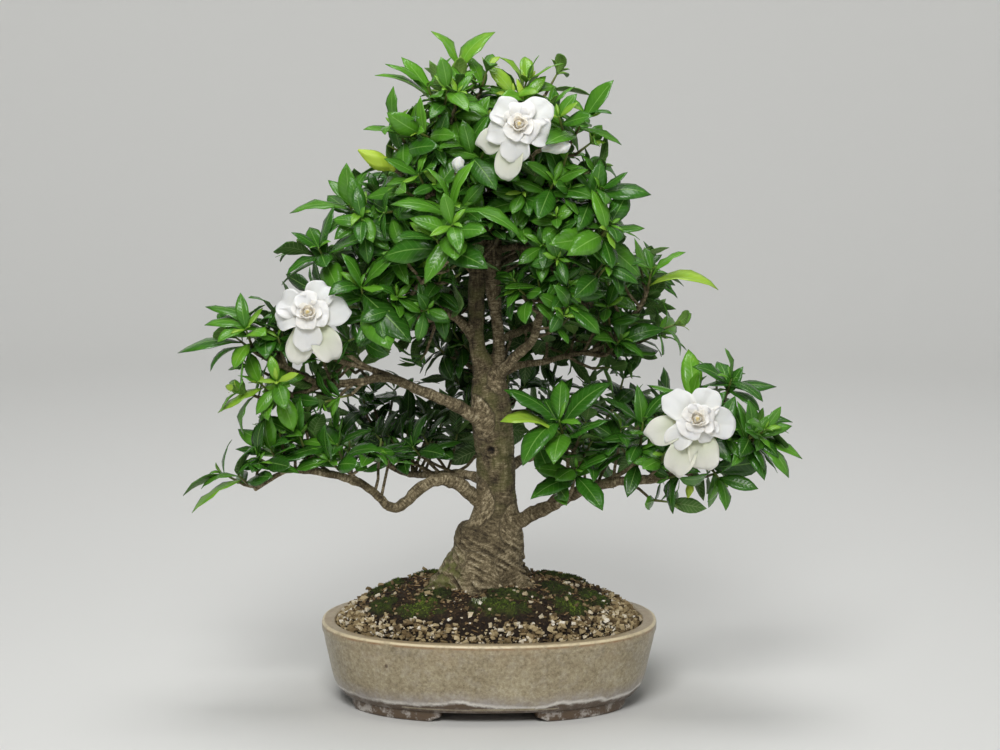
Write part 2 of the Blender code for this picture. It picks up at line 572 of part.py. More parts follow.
def build_pot():
    """Make the pot: its walls, floor, drain holes and four feet."""
    rings = [[(x, y, height) for x, y in oval(inset)] for inset, height in POT_OUTSIDE + POT_RIM + POT_INSIDE]
    pot = make_object("pot", *loft(rings), "glaze")
    feet = []
    for turn_x, turn_y in ((1, 1), (-1, 1), (-1, -1), (1, -1)):
        sections = []
        for station in range(FOOT_STATIONS):
            share = station / (FOOT_STATIONS - 1)
            angle = FOOT_START + (FOOT_END - FOOT_START) * share
            low = FOOT_END_RISE if station in (0, FOOT_STATIONS - 1) else 0.0
            section = []
            for inset, height in ((FOOT_INSETS[0], low), (FOOT_INSETS[1], low),
                                  (FOOT_INSETS[1], FOOT_TOP), (FOOT_INSETS[0], FOOT_TOP)):
                x, y = oval_point(angle, POT_HALF_LENGTH - inset, POT_HALF_WIDTH - inset)
                section.append((x * turn_x, y * turn_y, height))
            sections.append(section)
        feet.append(make_object("foot", *loft(sections), "glaze"))
    boolean(pot, feet, "UNION")
    holes = [make_drain_hole(side * DRAIN_X) for side in (-1, 1)]
    boolean(pot, holes, "DIFFERENCE")
    pot.data.shade_smooth()
    pot.data.set_sharp_from_angle(angle=POT_SHARP_ANGLE)
    return pot


def make_drain_hole(x):
    """Make the cutter of one drain hole."""
    rings = []
    for height in (-CUT_MARGIN, POT_FLOOR_TOP + CUT_MARGIN):
        ring = []
        for side in range(DRAIN_SIDES):
            angle = 2.0 * math.pi * side / DRAIN_SIDES
            ring.append((x + DRAIN_RADIUS * math.cos(angle), DRAIN_RADIUS * math.sin(angle), height))
        rings.append(ring)
    return make_object("drain_hole", *loft(rings), "glaze")


def make_box(name, centre, size, material):
    """Make a box from its centre and size."""
    low = [middle - whole / 2.0 for middle, whole in zip(centre, size)]
    high = [middle + whole / 2.0 for middle, whole in zip(centre, size)]
    rings = [[(low[0], low[1], z), (high[0], low[1], z), (high[0], high[1], z), (low[0], high[1], z)]
             for z in (low[2], high[2])]
    return make_object(name, *loft(rings), material, smooth=False)


def build_screen(name, x):
    """Make a drain screen: a square sheet with two rows of square openings."""
    middle = POT_FLOOR_TOP + GAP + SCREEN_THICKNESS / 2.0
    screen = make_box(name, (x, 0.0, middle), (SCREEN_SIDE, SCREEN_SIDE, SCREEN_THICKNESS), "screen_plastic")
    openings = []
    for column in (-0.5, 0.5):
        for row in (-0.5, 0.5):
            centre = (x + column * SCREEN_PITCH, row * SCREEN_PITCH, middle)
            size = (SCREEN_OPENING, SCREEN_OPENING, 3.0 * SCREEN_THICKNESS)
            openings.append(make_box("opening", centre, size, "screen_plastic"))
    boolean(screen, openings, "DIFFERENCE")
    return screen


def inner_inset(height):
    """Return how far the pot's inner wall lies inside the rim's edge at a height."""
    knots = sorted(POT_INSIDE, key=lambda knot: knot[1])
    for (low_inset, low), (high_inset, high) in zip(knots, knots[1:]):
        if height <= high:
            return low_inset + (high_inset - low_inset) * (height - low) / (high - low)
    return knots[-1][0]


def circle(radius, height, sides):
    """Return a level ring of points round the trunk's axis."""
    ring = []
    for side in range(sides):
        angle = 2.0 * math.pi * side / sides
        ring.append((radius * math.cos(angle), radius * math.sin(angle), height))
    return ring


def collar_height(radius):
    """Return the soil's height on the even collar round the trunk."""
    return COLLAR_HEIGHT + (COLLAR_RADIUS - radius) * COLLAR_SLOPE


def build_soil():
    """Make the soil: it fills the pot, with a hole for the trunk's stub and pockets over the screens."""
    draw = random.Random(SOIL_SEED)
    hole_top = circle(TRUNK_HOLE_RADIUS, collar_height(TRUNK_HOLE_RADIUS), POT_SIDES)
    collar = circle(COLLAR_RADIUS, COLLAR_HEIGHT, POT_SIDES)
    rings = [circle(TRUNK_HOLE_RADIUS, TRUNK_HOLE_FLOOR, POT_SIDES), hole_top, collar]
    wall = oval(inner_inset(SOIL_WALL_HEIGHT) + SOIL_SIDE_GAP)
    for share, height in SOIL_STEPS:
        ring = []
        for (start_x, start_y, _), (end_x, end_y) in zip(collar, wall):
            lump = draw.uniform(-SOIL_LUMP, SOIL_LUMP) if share < 1.0 else 0.0
            ring.append((start_x + (end_x - start_x) * share, start_y + (end_y - start_y) * share, height + lump))
        rings.append(ring)
    for _, height in POT_INSIDE[1:]:
        level = height if height > POT_FLOOR_TOP else POT_FLOOR_TOP + GAP
        rings.append([(x, y, level) for x, y in oval(inner_inset(level) + SOIL_SIDE_GAP)])
    soil = make_object("soil", *loft(rings), "soil")
    pockets = []
    pocket_side = SCREEN_SIDE + 2.0 * SCREEN_POCKET_MARGIN
    pocket_top = POT_FLOOR_TOP + GAP + SCREEN_THICKNESS + SCREEN_POCKET_MARGIN
    for side in (-1, 1):
        low = POT_FLOOR_TOP - CUT_MARGIN
        centre = (side * DRAIN_X, 0.0, (low + pocket_top) / 2.0)
        pockets.append(make_box("pocket", centre, (pocket_side, pocket_side, pocket_top - low), "soil"))
    boolean(soil, pockets, "DIFFERENCE")
    return soil


def branch_lines():
    """Return each branch's smooth route with radii, by name."""
    lines = {"trunk": smooth_route(TRUNK, BRANCH_STEP), "right_leader": smooth_route(RIGHT_LEADER, BRANCH_STEP)}
    for branch in BRANCHES:
        count = len(branch.route)
        knots = []
        for index, point in enumerate(branch.route):
            share = index / (count - 1)
            knots.append((*point, branch.start_radius + (branch.end_radius - branch.start_radius) * share))
        lines[branch.name] = smooth_route(knots, BRANCH_STEP)
    return lines


def twig_route(line, foot, heading):
    """Return the route of a woody twig from a branch to a foot, arriving along a heading."""
    foot = Vector(foot)
    places = [Vector(point[:3]) for point in line]
    distances = [(place - foot).length for place in places]
    nearest = min(range(len(places)), key=distances.__getitem__)
    back_off = nearest
    walked = 0.0
    while back_off > 1 and walked < TWIG_BACK_OFF * distances[nearest]:
        walked += (places[back_off] - places[back_off - 1]).length
        back_off -= 1
    start = places[back_off]
    radius = line[back_off][3]
    reach = (foot - start).length
    ahead = places[min(back_off + 1, len(places) - 1)]
    along = (ahead - places[max(back_off - 1, 0)]).normalized()
    leaving = (along + (foot - start).normalized()).normalized()
    first_pull = start + leaving * reach * TWIG_PULL
    last_pull = foot - heading * reach * TWIG_PULL
    pieces = max(1, round(reach / TWIG_STEP))
    route = []
    for piece in range(pieces + 1):
        t = piece / pieces
        s = 1.0 - t
        route.append(s ** 3 * start + 3.0 * s * s * t * first_pull + 3.0 * s * t * t * last_pull + t ** 3 * foot)
    start_radius = max(min(radius * TWIG_START_SHARE, TWIG_START_LIMIT), TWIG_END_RADIUS)
    radii = [start_radius + (TWIG_END_RADIUS - start_radius) * piece / pieces for piece in range(pieces + 1)]
    return route, radii


def bloom_base(bloom):
    """Return the place at a bloom's back where its stalk ends."""
    return Vector(bloom.centre) - BLOOM_FACING * (BLOOM_BACK + GAP)


def build_wood():
    """Make the trunk, roots, leaders, branches and twigs as one solid that stands in the soil."""
    lines = branch_lines()
    trunk_line = lines["trunk"]
    trunk_points = [point[:3] for point in trunk_line]
    trunk_points[0] = (trunk_points[0][0], trunk_points[0][1], trunk_points[0][2] - TRUNK_FOOT_DEPTH)
    skin = tube(trunk_points, [point[3] for point in trunk_line], TRUNK_SIDES, TRUNK_FLUTING)
    wood = make_object("wood", *skin, "bark")
    pieces = [branch_tube("leader", lines["right_leader"], LEADER_SIDES)]
    for root in ROOTS:
        pieces.append(branch_tube("root", smooth_route(root, ROOT_STEP), ROOT_SIDES))
    for branch in BRANCHES:
        pieces.append(branch_tube(branch.name, lines[branch.name], branch.sides))
    for shoot in SHOOTS:
        heading = (Vector(shoot.top) - Vector(shoot.foot)).normalized()
        pieces.append(twig_tube(lines[shoot.parent], shoot.foot, heading))
    for bud in BUDS:
        heading = (Vector(bud.tip) - Vector(bud.base)).normalized()
        pieces.append(twig_tube(lines[bud.parent], bud.base, heading))
    for bloom in BLOOMS:
        pieces.append(twig_tube(lines[bloom.parent], bloom_base(bloom), BLOOM_FACING))
    boolean(wood, pieces, "UNION")
    boolean(wood, [make_soil_cutter()], "DIFFERENCE")
    stub = make_object("stub", *loft([circle(STUB_RADIUS, STUB_FOOT, STUB_SIDES),
                                      circle(STUB_RADIUS, STUB_TOP, STUB_SIDES)]), "bark")
    boolean(wood, [stub], "UNION")
    keep_largest_body(wood)
    wood.data.shade_smooth()
    wood.data.set_sharp_from_angle(angle=WOOD_SHARP_ANGLE)
    return wood


def make_soil_cutter():
    """Make the solid that cuts the roots just above the soil's collar."""
    rings = [circle(COLLAR_RADIUS, COLLAR_HEIGHT - SOIL_CUTTER_DEPTH, POT_SIDES),
             circle(COLLAR_RADIUS, COLLAR_HEIGHT + SOIL_CUTTER_RISE, POT_SIDES),
             circle(1.0, collar_height(1.0) + SOIL_CUTTER_RISE, POT_SIDES)]
    return make_object("soil_cutter", *loft(rings), "soil")


@dataclass
class Blade:
    """A thin arched blade from its root to its tip, for a leaf or a petal.

    It starts along start_way with its upper side toward upper_way and bends down through its arch. Each
    station is a share of the length and a share of the half width. Its rib is the thickness, and its two
    halves are folded up from the rib.
    """

    root: Vector
    start_way: Vector
    upper_way: Vector
    length: float
    half_width: float
    arch: float
    stations: tuple
    thickness: float
    fold: float

    def spot(self, share):
        """Return the rib's place and its upper direction at a share of the length."""
        angle = self.arch * share
        forward = math.sin(angle) / self.arch
        fall = (1.0 - math.cos(angle)) / self.arch
        place = self.root + (self.start_way * forward - self.upper_way * fall) * self.length
        return place, self.upper_way * math.cos(angle) + self.start_way * math.sin(angle)

    def skin(self):
        """Return the blade's points and its triangles, split alike on both faces."""
        side_way = self.start_way.cross(self.upper_way).normalized()
        points = [self.root]
        for share, width_share in self.stations:
            place, normal = self.spot(share)
            half = self.half_width * width_share
            out = side_way * half * math.cos(self.fold)
            rise = normal * half * math.sin(self.fold)
            rib = normal * self.thickness / 2.0
            points += [place - out + rise, place + rib, place + out + rise, place - rib]
        points.append(self.spot(1.0)[0])
        faces = [(0, 2, 1), (0, 3, 2), (0, 4, 3), (0, 1, 4)]
        for level in range(len(self.stations) - 1):
            a = 1 + level * 4
            b = a + 4
            faces += [(a, a + 1, b + 1), (a, b + 1, b), (a, b + 3, a + 3), (a, b, b + 3)]
            faces += [(a + 2, b + 1, a + 1), (a + 2, b + 2, b + 1), (a + 2, a + 3, b + 3), (a + 2, b + 3, b + 2)]
        last = len(points) - 5
        end = len(points) - 1
        faces += [(last, last + 1, end), (last + 1, last + 2, end), (last + 2, last + 3, end), (last + 3, last, end)]
        return points, faces


def blade_between(root, tip, upper, arch, **sizes):
    """Return the blade that starts at a root and ends at a tip, arched toward an upper direction."""
    chord = tip - root
    along = chord.normalized()
    upper = (upper - along * upper.dot(along)).normalized()
    half = arch / 2.0
    start_way = along * math.cos(half) + upper * math.sin(half)
    upper_way = upper * math.cos(half) - along * math.sin(half)
    return Blade(root, start_way, upper_way, chord.length * half / math.sin(half), arch=arch, **sizes)


def leaf_by_rule(node, axis, side_way, lift_degrees, turn_degrees, length):
    """Return a leaf that leaves the stem at a lift above its level, after a turn round its axis."""
    out = Matrix.Rotation(math.radians(turn_degrees), 3, axis) @ side_way
    lift = math.radians(lift_degrees)
    start_way = (out * math.cos(lift) + axis * math.sin(lift)).normalized()
    upper_way = (axis * math.cos(lift) - out * math.sin(lift)).normalized()
    return Blade(node + out * LEAF_ROOT_SHIFT, start_way, upper_way, length, length * LEAF_WIDTH_SHARE / 2.0,
                 LEAF_ARCH, LEAF_STATIONS, LEAF_RIB, LEAF_FOLD)


def leaf_to_tip(node, axis, tip):
    """Return a leaf whose tip lies at a place."""
    along = (tip - node).normalized()
    guide = axis + LEAF_LIGHT_WAY
    upper = guide - along * guide.dot(along)
    if upper.length < 0.2:
        upper = LEAF_FRONT_WAY - along * LEAF_FRONT_WAY.dot(along)
    root = node + along * LEAF_ROOT_SHIFT
    half_width = (tip - root).length * LEAF_WIDTH_SHARE / 2.0
    return blade_between(root, tip, upper, LEAF_ARCH, half_width=half_width, stations=LEAF_STATIONS,
                         thickness=LEAF_RIB, fold=LEAF_FOLD)


class Space:
    """What is built so far, to test a new leaf against."""

    def __init__(self):
        self.solids = []

    def add(self, owner, points, faces):
        """Add a solid's points and faces under its owner's name."""
        corners = [Vector(point) for point in points]
        low = [min(corner[axis] for corner in corners) for axis in range(3)]
        high = [max(corner[axis] for corner in corners) for axis in range(3)]
        self.solids.append((owner, low, high, BVHTree.FromPolygons(corners, faces)))

    def is_free(self, owner, points, faces):
        """Say whether a skin crosses nothing that belongs to another owner."""
        low = [min(point[axis] for point in points) for axis in range(3)]
        high = [max(point[axis] for point in points) for axis in range(3)]
        tree = None
        for other, other_low, other_high, other_tree in self.solids:
            if other == owner:
                continue
            if any(low[axis] > other_high[axis] or high[axis] < other_low[axis] for axis in range(3)):
                continue
            if tree is None:
                tree = BVHTree.FromPolygons(points, faces)
            if tree.overlap(other_tree):
                return False
        return True


def object_skin(thing):
    """Return an object's points in millimetres and its faces."""
    points = [vertex.co / METRES for vertex in thing.data.vertices]
    faces = [tuple(polygon.vertices) for polygon in thing.data.polygons]
    return points, faces


@dataclass(frozen=True)
class LeafPlace:
    """A leaf's place on its shoot: its node, the way it points, its usual lift and length, and any fixed tip."""

    node: Vector
    side_way: Vector
    lift: float
    length: float
    tip: Vector = None


def shoot_axis(shoot):
    """Return a shoot's foot, top and heading."""
    foot = Vector(shoot.foot)
    top = Vector(shoot.top)
    return foot, top, (top - foot).normalized()


def leaf_places(shoot):
    """Return the places of a shoot's leaves: opposite pairs, each turned a quarter from the last."""
    draw = random.Random(shoot.name)
    foot, top, axis = shoot_axis(shoot)
    flat = Vector((1.0, 0.0, 0.0)) if abs(axis.x) < 0.8 else Vector((0.0, 1.0, 0.0))
    side = axis.cross(flat).normalized()
    side = Matrix.Rotation(draw.uniform(0.0, math.pi), 3, axis) @ side
    places = []
    for pair in range(shoot.pairs):
        share = PAIRS_START + PAIRS_SPAN * pair / (shoot.pairs - 1)
        node = foot.lerp(top, share)
        for half in (0, 1):
            way = Matrix.Rotation(math.pi * half + math.pi / 2.0 * pair, 3, axis) @ side
            lift = LEAF_LOW_LIFT + LEAF_LIFT_GAIN * share + draw.uniform(-LEAF_LIFT_VARIES, LEAF_LIFT_VARIES)
            length = shoot.leaf * (LEAF_LENGTH_START - LEAF_LENGTH_LOSS * share) * draw.uniform(*LEAF_LENGTH_VARIES)
            places.append(LeafPlace(node, way, lift, length))
    for tip in shoot.tips:
        target = Vector(tip)
        loose = [place for place in places if place.tip is None]
        best = max(loose, key=lambda place: tip_fit(place, target))
        places[places.index(best)] = replace(best, tip=target)
    return places


def tip_fit(place, target):
    """Return how well a leaf at a place suits a tip, from its direction and its distance."""
    reach = target - place.node
    return reach.normalized().dot(place.side_way) - abs(reach.length - place.length) / USUAL_LEAF_LENGTH


def leaf_choices(place, axis):
    """Yield the leaves that may stand at a place, the best first."""
    if place.tip is not None:
        for shift in TIP_SHIFTS:
            yield leaf_to_tip(place.node, axis, place.tip + Vector((0.0, shift, -TIP_FALL * shift)))
        return
    for scale in LEAF_SCALES:
        for lift in LEAF_LIFTS:
            for turn in LEAF_TURNS:
                yield leaf_by_rule(place.node, axis, place.side_way, place.lift + lift, turn, place.length * scale)


def stem_skin(shoot):
    """Return the green stem of a shoot, which starts just past its twig's end."""
    foot, top, axis = shoot_axis(shoot)
    points = [foot + axis * GAP, top + axis * STEM_TOP_EXTRA]
    return tube(points, [STEM_FOOT_RADIUS, STEM_TOP_RADIUS], STEM_SIDES)


def place_leaves(space, shoots, fixed):
    """Choose a free leaf for each place with or without a fixed tip, and add it to the space."""
    chosen = {shoot.name: [] for shoot in shoots}
    for shoot in shoots:
        axis = shoot_axis(shoot)[2]
        for number, place in enumerate(leaf_places(shoot)):
            if (place.tip is not None) != fixed:
                continue
            for leaf in leaf_choices(place, axis):
                if place.tip is None and leaf.spot(1.0)[0].z < shoot.floor:
                    continue
                swollen = replace(leaf, half_width=leaf.half_width + LEAF_CLEARANCE,
                                  thickness=leaf.thickness + 2.0 * LEAF_CLEARANCE)
                if space.is_free(shoot.name, *swollen.skin()) and is_clear_of_sisters(space, shoot.name, leaf):
                    space.add(shoot.name, *leaf.skin())
                    chosen[shoot.name].append(leaf)
                    break
    return chosen


def is_clear_of_sisters(space, name, leaf):
    """Say whether a leaf's outer part crosses no leaf of its own shoot."""
    points, faces = leaf.skin()
    far = [face for face in faces if min(face) > 0]
    tree = BVHTree.FromPolygons(points, far)
    for owner, _, _, other in space.solids:
        if owner == name and tree.overlap(other):
            return False
    return True


def build_shoot(shoot, leaves):
    """Make one shoot as one solid: its stem with its leaves sunk into it."""
    stem = make_object(shoot.name, *stem_skin(shoot), shoot.tone)
    blades = [make_object("leaf", *leaf.skin(), shoot.tone) for leaf in leaves]
    boolean(stem, blades, "UNION")
    keep_largest_body(stem)
    stem.data.shade_smooth()
    stem.data.set_sharp_from_angle(angle=BLADE_SHARP_ANGLE)
    return stem


def build_bloom(bloom):
    """Make one bloom: a small core with its petals in layers and a rolled heart."""
    centre = Vector(bloom.centre)
    right_way = Vector((1.0, 0.0, 0.0))
    up_way = BLOOM_FACING.cross(right_way).normalized()
    if up_way.z < 0.0:
        up_way = -up_way
    back = centre - BLOOM_FACING * BLOOM_BACK
    front = centre + BLOOM_FACING * BLOOM_FRONT
    core_points = [back.lerp(front, share) for share in BLOOM_CORE_SHARES]
    core = make_object(bloom.name, *tube(core_points, BLOOM_CORE_RADII, BLOOM_CORE_SIDES), "petal")
    petals = []
    for right, up, behind, half_width, layer in bloom.petals:
        outward = (right_way * right + up_way * up).normalized()
        root = centre + BLOOM_FACING * (layer * PETAL_LAYER_STEP - PETAL_ROOT_BACK) + outward * PETAL_ROOT_OUT
        petals.append(build_petal(root, centre + Vector((right, behind, up)), half_width))
    for inner in range(INNER_PETALS):
        angle = 2.0 * math.pi * inner / INNER_PETALS + INNER_PETAL_START
        outward = right_way * math.cos(angle) + up_way * math.sin(angle)
        root = centre + BLOOM_FACING * INNER_PETAL_ROOT_FRONT + outward * PETAL_ROOT_OUT
        tip = centre + BLOOM_FACING * INNER_PETAL_TIP_FRONT + outward * INNER_PETAL_REACH
        petals.append(build_petal(root, tip, INNER_PETAL_HALF_WIDTH))
    boolean(core, petals, "UNION")
    keep_largest_body(core)
    core.data.shade_smooth()
    core.data.set_sharp_from_angle(angle=BLADE_SHARP_ANGLE)
    return core


def build_petal(root, tip, half_width):
    """Make one petal from its root to its tip, arched toward the bloom's front."""
    petal = blade_between(root, tip, BLOOM_FACING, PETAL_ARCH, half_width=half_width, stations=PETAL_STATIONS,
                          thickness=PETAL_THICKNESS, fold=PETAL_FOLD)
    return make_object("petal", *petal.skin(), "petal")


def build_bud(bud):
    """Make one bud: a twisted spindle on its stalk."""
    base = Vector(bud.base)
    tip = Vector(bud.tip)
    axis = (tip - base).normalized()
    side_way = axis.cross(Vector((0.0, 0.0, 1.0))).normalized()
    up_way = axis.cross(side_way)
    start = base + axis * GAP
    profile = ((0.0, TWIG_END_RADIUS),
               (BUD_NECK_SHARE, bud.radius * BUD_NECK),
               (bud.widest * 0.6, bud.radius * BUD_LOWER),
               (bud.widest, bud.radius),
               ((1.0 + bud.widest) / 2.0, bud.radius * BUD_UPPER),
               (1.0, BUD_TIP_RADIUS))
    rings = []
    for share, radius in profile:
        ring = []
        for side in range(BUD_SIDES):
            angle = 2.0 * math.pi * side / BUD_SIDES + BUD_TWIST * share
            swell = 1.0 if side % 2 else BUD_FURROW
            offset = side_way * math.cos(angle) + up_way * math.sin(angle)
            ring.append(start.lerp(tip, share) + offset * radius * swell)
        rings.append(ring)
    return make_object(bud.name, *loft(rings), bud.tone)


def main():
    """Build every piece of the bonsai."""
    clear_scene()
    solids = [build_pot(), build_screen("drain_screen_left", -DRAIN_X), build_screen("drain_screen_right", DRAIN_X),
              build_soil(), build_wood()]
    solids += [build_bloom(bloom) for bloom in BLOOMS]
    solids += [build_bud(bud) for bud in BUDS]
    space = Space()
    for solid in solids:
        space.add(solid.name, *object_skin(solid))
    for shoot in SHOOTS:
        space.add(shoot.name, *stem_skin(shoot))
    aimed = place_leaves(space, SHOOTS, True)
    others = place_leaves(space, SHOOTS, False)
    for shoot in SHOOTS:
        build_shoot(shoot, aimed[shoot.name] + others[shoot.name])


main()
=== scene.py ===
"""Looks of a gardenia bonsai in its glazed pot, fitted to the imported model.

The wood, leafy shoots, blooms, buds, soil and pot are finer pieces that keep the form of the model's nodes.
The tables are in millimetres, with +X to the right, +Y to the back and +Z up, as in the model.
"""

import json
import logging
import math
import random
from dataclasses import dataclass, field, replace
from enum import Enum
from typing import Callable, Iterable

import bmesh
import bpy
from mathutils import Matrix, Vector, noise
from mathutils.bvhtree import BVHTree
from mathutils.kdtree import KDTree

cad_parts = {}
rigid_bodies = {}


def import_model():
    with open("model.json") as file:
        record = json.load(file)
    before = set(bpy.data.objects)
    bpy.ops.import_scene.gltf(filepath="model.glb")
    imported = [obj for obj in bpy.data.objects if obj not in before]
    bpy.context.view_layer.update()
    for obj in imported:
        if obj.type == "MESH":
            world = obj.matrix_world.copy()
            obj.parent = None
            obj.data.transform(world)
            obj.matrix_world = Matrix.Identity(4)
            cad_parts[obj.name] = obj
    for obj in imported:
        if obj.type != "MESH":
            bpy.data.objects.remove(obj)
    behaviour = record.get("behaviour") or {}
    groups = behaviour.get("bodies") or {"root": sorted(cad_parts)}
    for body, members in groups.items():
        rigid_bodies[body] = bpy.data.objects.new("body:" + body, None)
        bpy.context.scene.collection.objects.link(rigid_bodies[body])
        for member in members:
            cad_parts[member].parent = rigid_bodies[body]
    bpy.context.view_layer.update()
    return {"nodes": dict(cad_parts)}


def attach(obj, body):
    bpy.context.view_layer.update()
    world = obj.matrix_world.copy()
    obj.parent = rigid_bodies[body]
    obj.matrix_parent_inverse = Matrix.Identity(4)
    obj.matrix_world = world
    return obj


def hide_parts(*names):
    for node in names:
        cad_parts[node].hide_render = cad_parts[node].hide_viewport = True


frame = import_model()

LOG = logging.getLogger("gardenia_bonsai")
MM = 0.001
FULL_TURN = 2.0 * math.pi
ANY_ANGLE = (0.0, 6.3)
RIGHT = Vector((1.0, 0.0, 0.0))
UP = Vector((0.0, 0.0, 1.0))
DOWN = Vector((0.0, 0.0, -1.0))
BODY = "root"

BMesh = bmesh.types.BMesh
Material = bpy.types.Material
Mesh = bpy.types.Mesh
Object = bpy.types.Object
Socket = bpy.types.NodeSocket
Route = list[tuple[float, ...]]
Rings = list[list[Vector]]
Laid = tuple[Matrix, float, int]


class Age(Enum):
    """How old a shoot's leaves are, which sets their tone from 0, dark, to 1, lime; SHADED is painted shade, a dark
    tone for leaves at the back and inside the crown.
    """

    # Painted shade: leaves at the back and inside the crown get this dark tone.
    SHADED = 0.16
    GROWN = 0.36
    YOUNG = 0.5
    LIME = 0.56

    @property
    def slot(self) -> str:
        """The record's material slot for such leaves."""
        return "leaf" if self is Age.GROWN else self.name.lower() + "_leaf"


@dataclass(frozen=True)
class Branch:
    """A woody branch: its route from its parent outward, and its radii at both ends."""

    name: str
    route: tuple
    start_radius: float
    end_radius: float


@dataclass(frozen=True)
class Shoot:
    """A leafy shoot: a stem from foot to top with opposite pairs of leaves, some of which reach given tips."""

    name: str
    parent: str
    foot: tuple
    top: tuple
    pairs: int
    leaf: float
    # How old the leaves are; SHADED is painted shade
    age: Age
    tips: tuple = ()


@dataclass(frozen=True)
class Bloom:
    """A double bloom: its centre, and its petals as (right, up, back, half width, layer) of each tip."""

    name: str
    parent: str
    centre: tuple
    petals: tuple


@dataclass(frozen=True)
class Bud:
    """A flower bud: base, tip and greatest radius, which lies at a share of its length."""

    name: str
    parent: str
    base: tuple
    tip: tuple
    radius: float
    widest: float
    green: bool


# The trunk with its left leader, and the right leader: (x, y, z, radius)
TRUNK = (
    (-8, -1, 100, 42), (-7, -1, 112, 37), (-1, 0, 128, 32), (3, 0, 145, 28), (6, 0, 163, 23), (7, 0, 183, 18.2),
    (7, 0, 204, 17.4), (6, 0, 225, 17.2), (3, 0, 244, 18), (1, 0, 266, 17.8), (0, 0, 284, 15.8), (-4, -1, 302, 10.5),
    (-9, -3, 316, 7.4), (-11, -4, 332, 7), (-11, -4, 350, 6.8), (-11, -4, 369, 7.4), (-10, -2, 389, 7.3),
    (-10, 0, 410, 7.2), (-10, 2, 432, 6.8), (-11, 3, 458, 6), (-14, 2, 482, 5), (-20, -1, 503, 3.8),
    (-28, -7, 520, 2),
)
RIGHT_LEADER = (
    (5, 2, 284, 11), (8, 2, 302, 7.5), (9, 4, 318, 5.6), (8, 5, 334, 5.2), (6, 7, 350, 5.4), (4, 8, 369, 7),
    (4, 9, 389, 7), (5, 10, 410, 6.8), (6, 11, 432, 6.2), (8, 12, 455, 5.4), (13, 12, 478, 4.6), (19, 10, 500, 3.6),
    (25, 6, 520, 2),
)
ROOTS = (
    ((-12, -10, 132, 13), (-32, -17, 116, 10), (-46, -21, 106, 7), (-58, -24, 98, 4)),
    ((-10, -2, 138, 13), (-28, -3, 122, 11), (-42, -4, 108, 8), (-58, -3, 97, 4)),
    ((6, -8, 138, 12), (20, -14, 120, 9.5), (31, -20, 107, 7), (44, -27, 97, 4)),
    ((-2, -10, 130, 12), (-8, -30, 114, 9), (-11, -42, 105, 6), (-14, -53, 97, 4)),
    ((2, 6, 138, 13), (18, 20, 120, 10), (31, 30, 106, 7.5), (43, 39, 97, 4)),
    ((-8, 8, 134, 12), (-21, 25, 117, 10), (-31, 37, 106, 7), (-39, 47, 97, 4)),
)
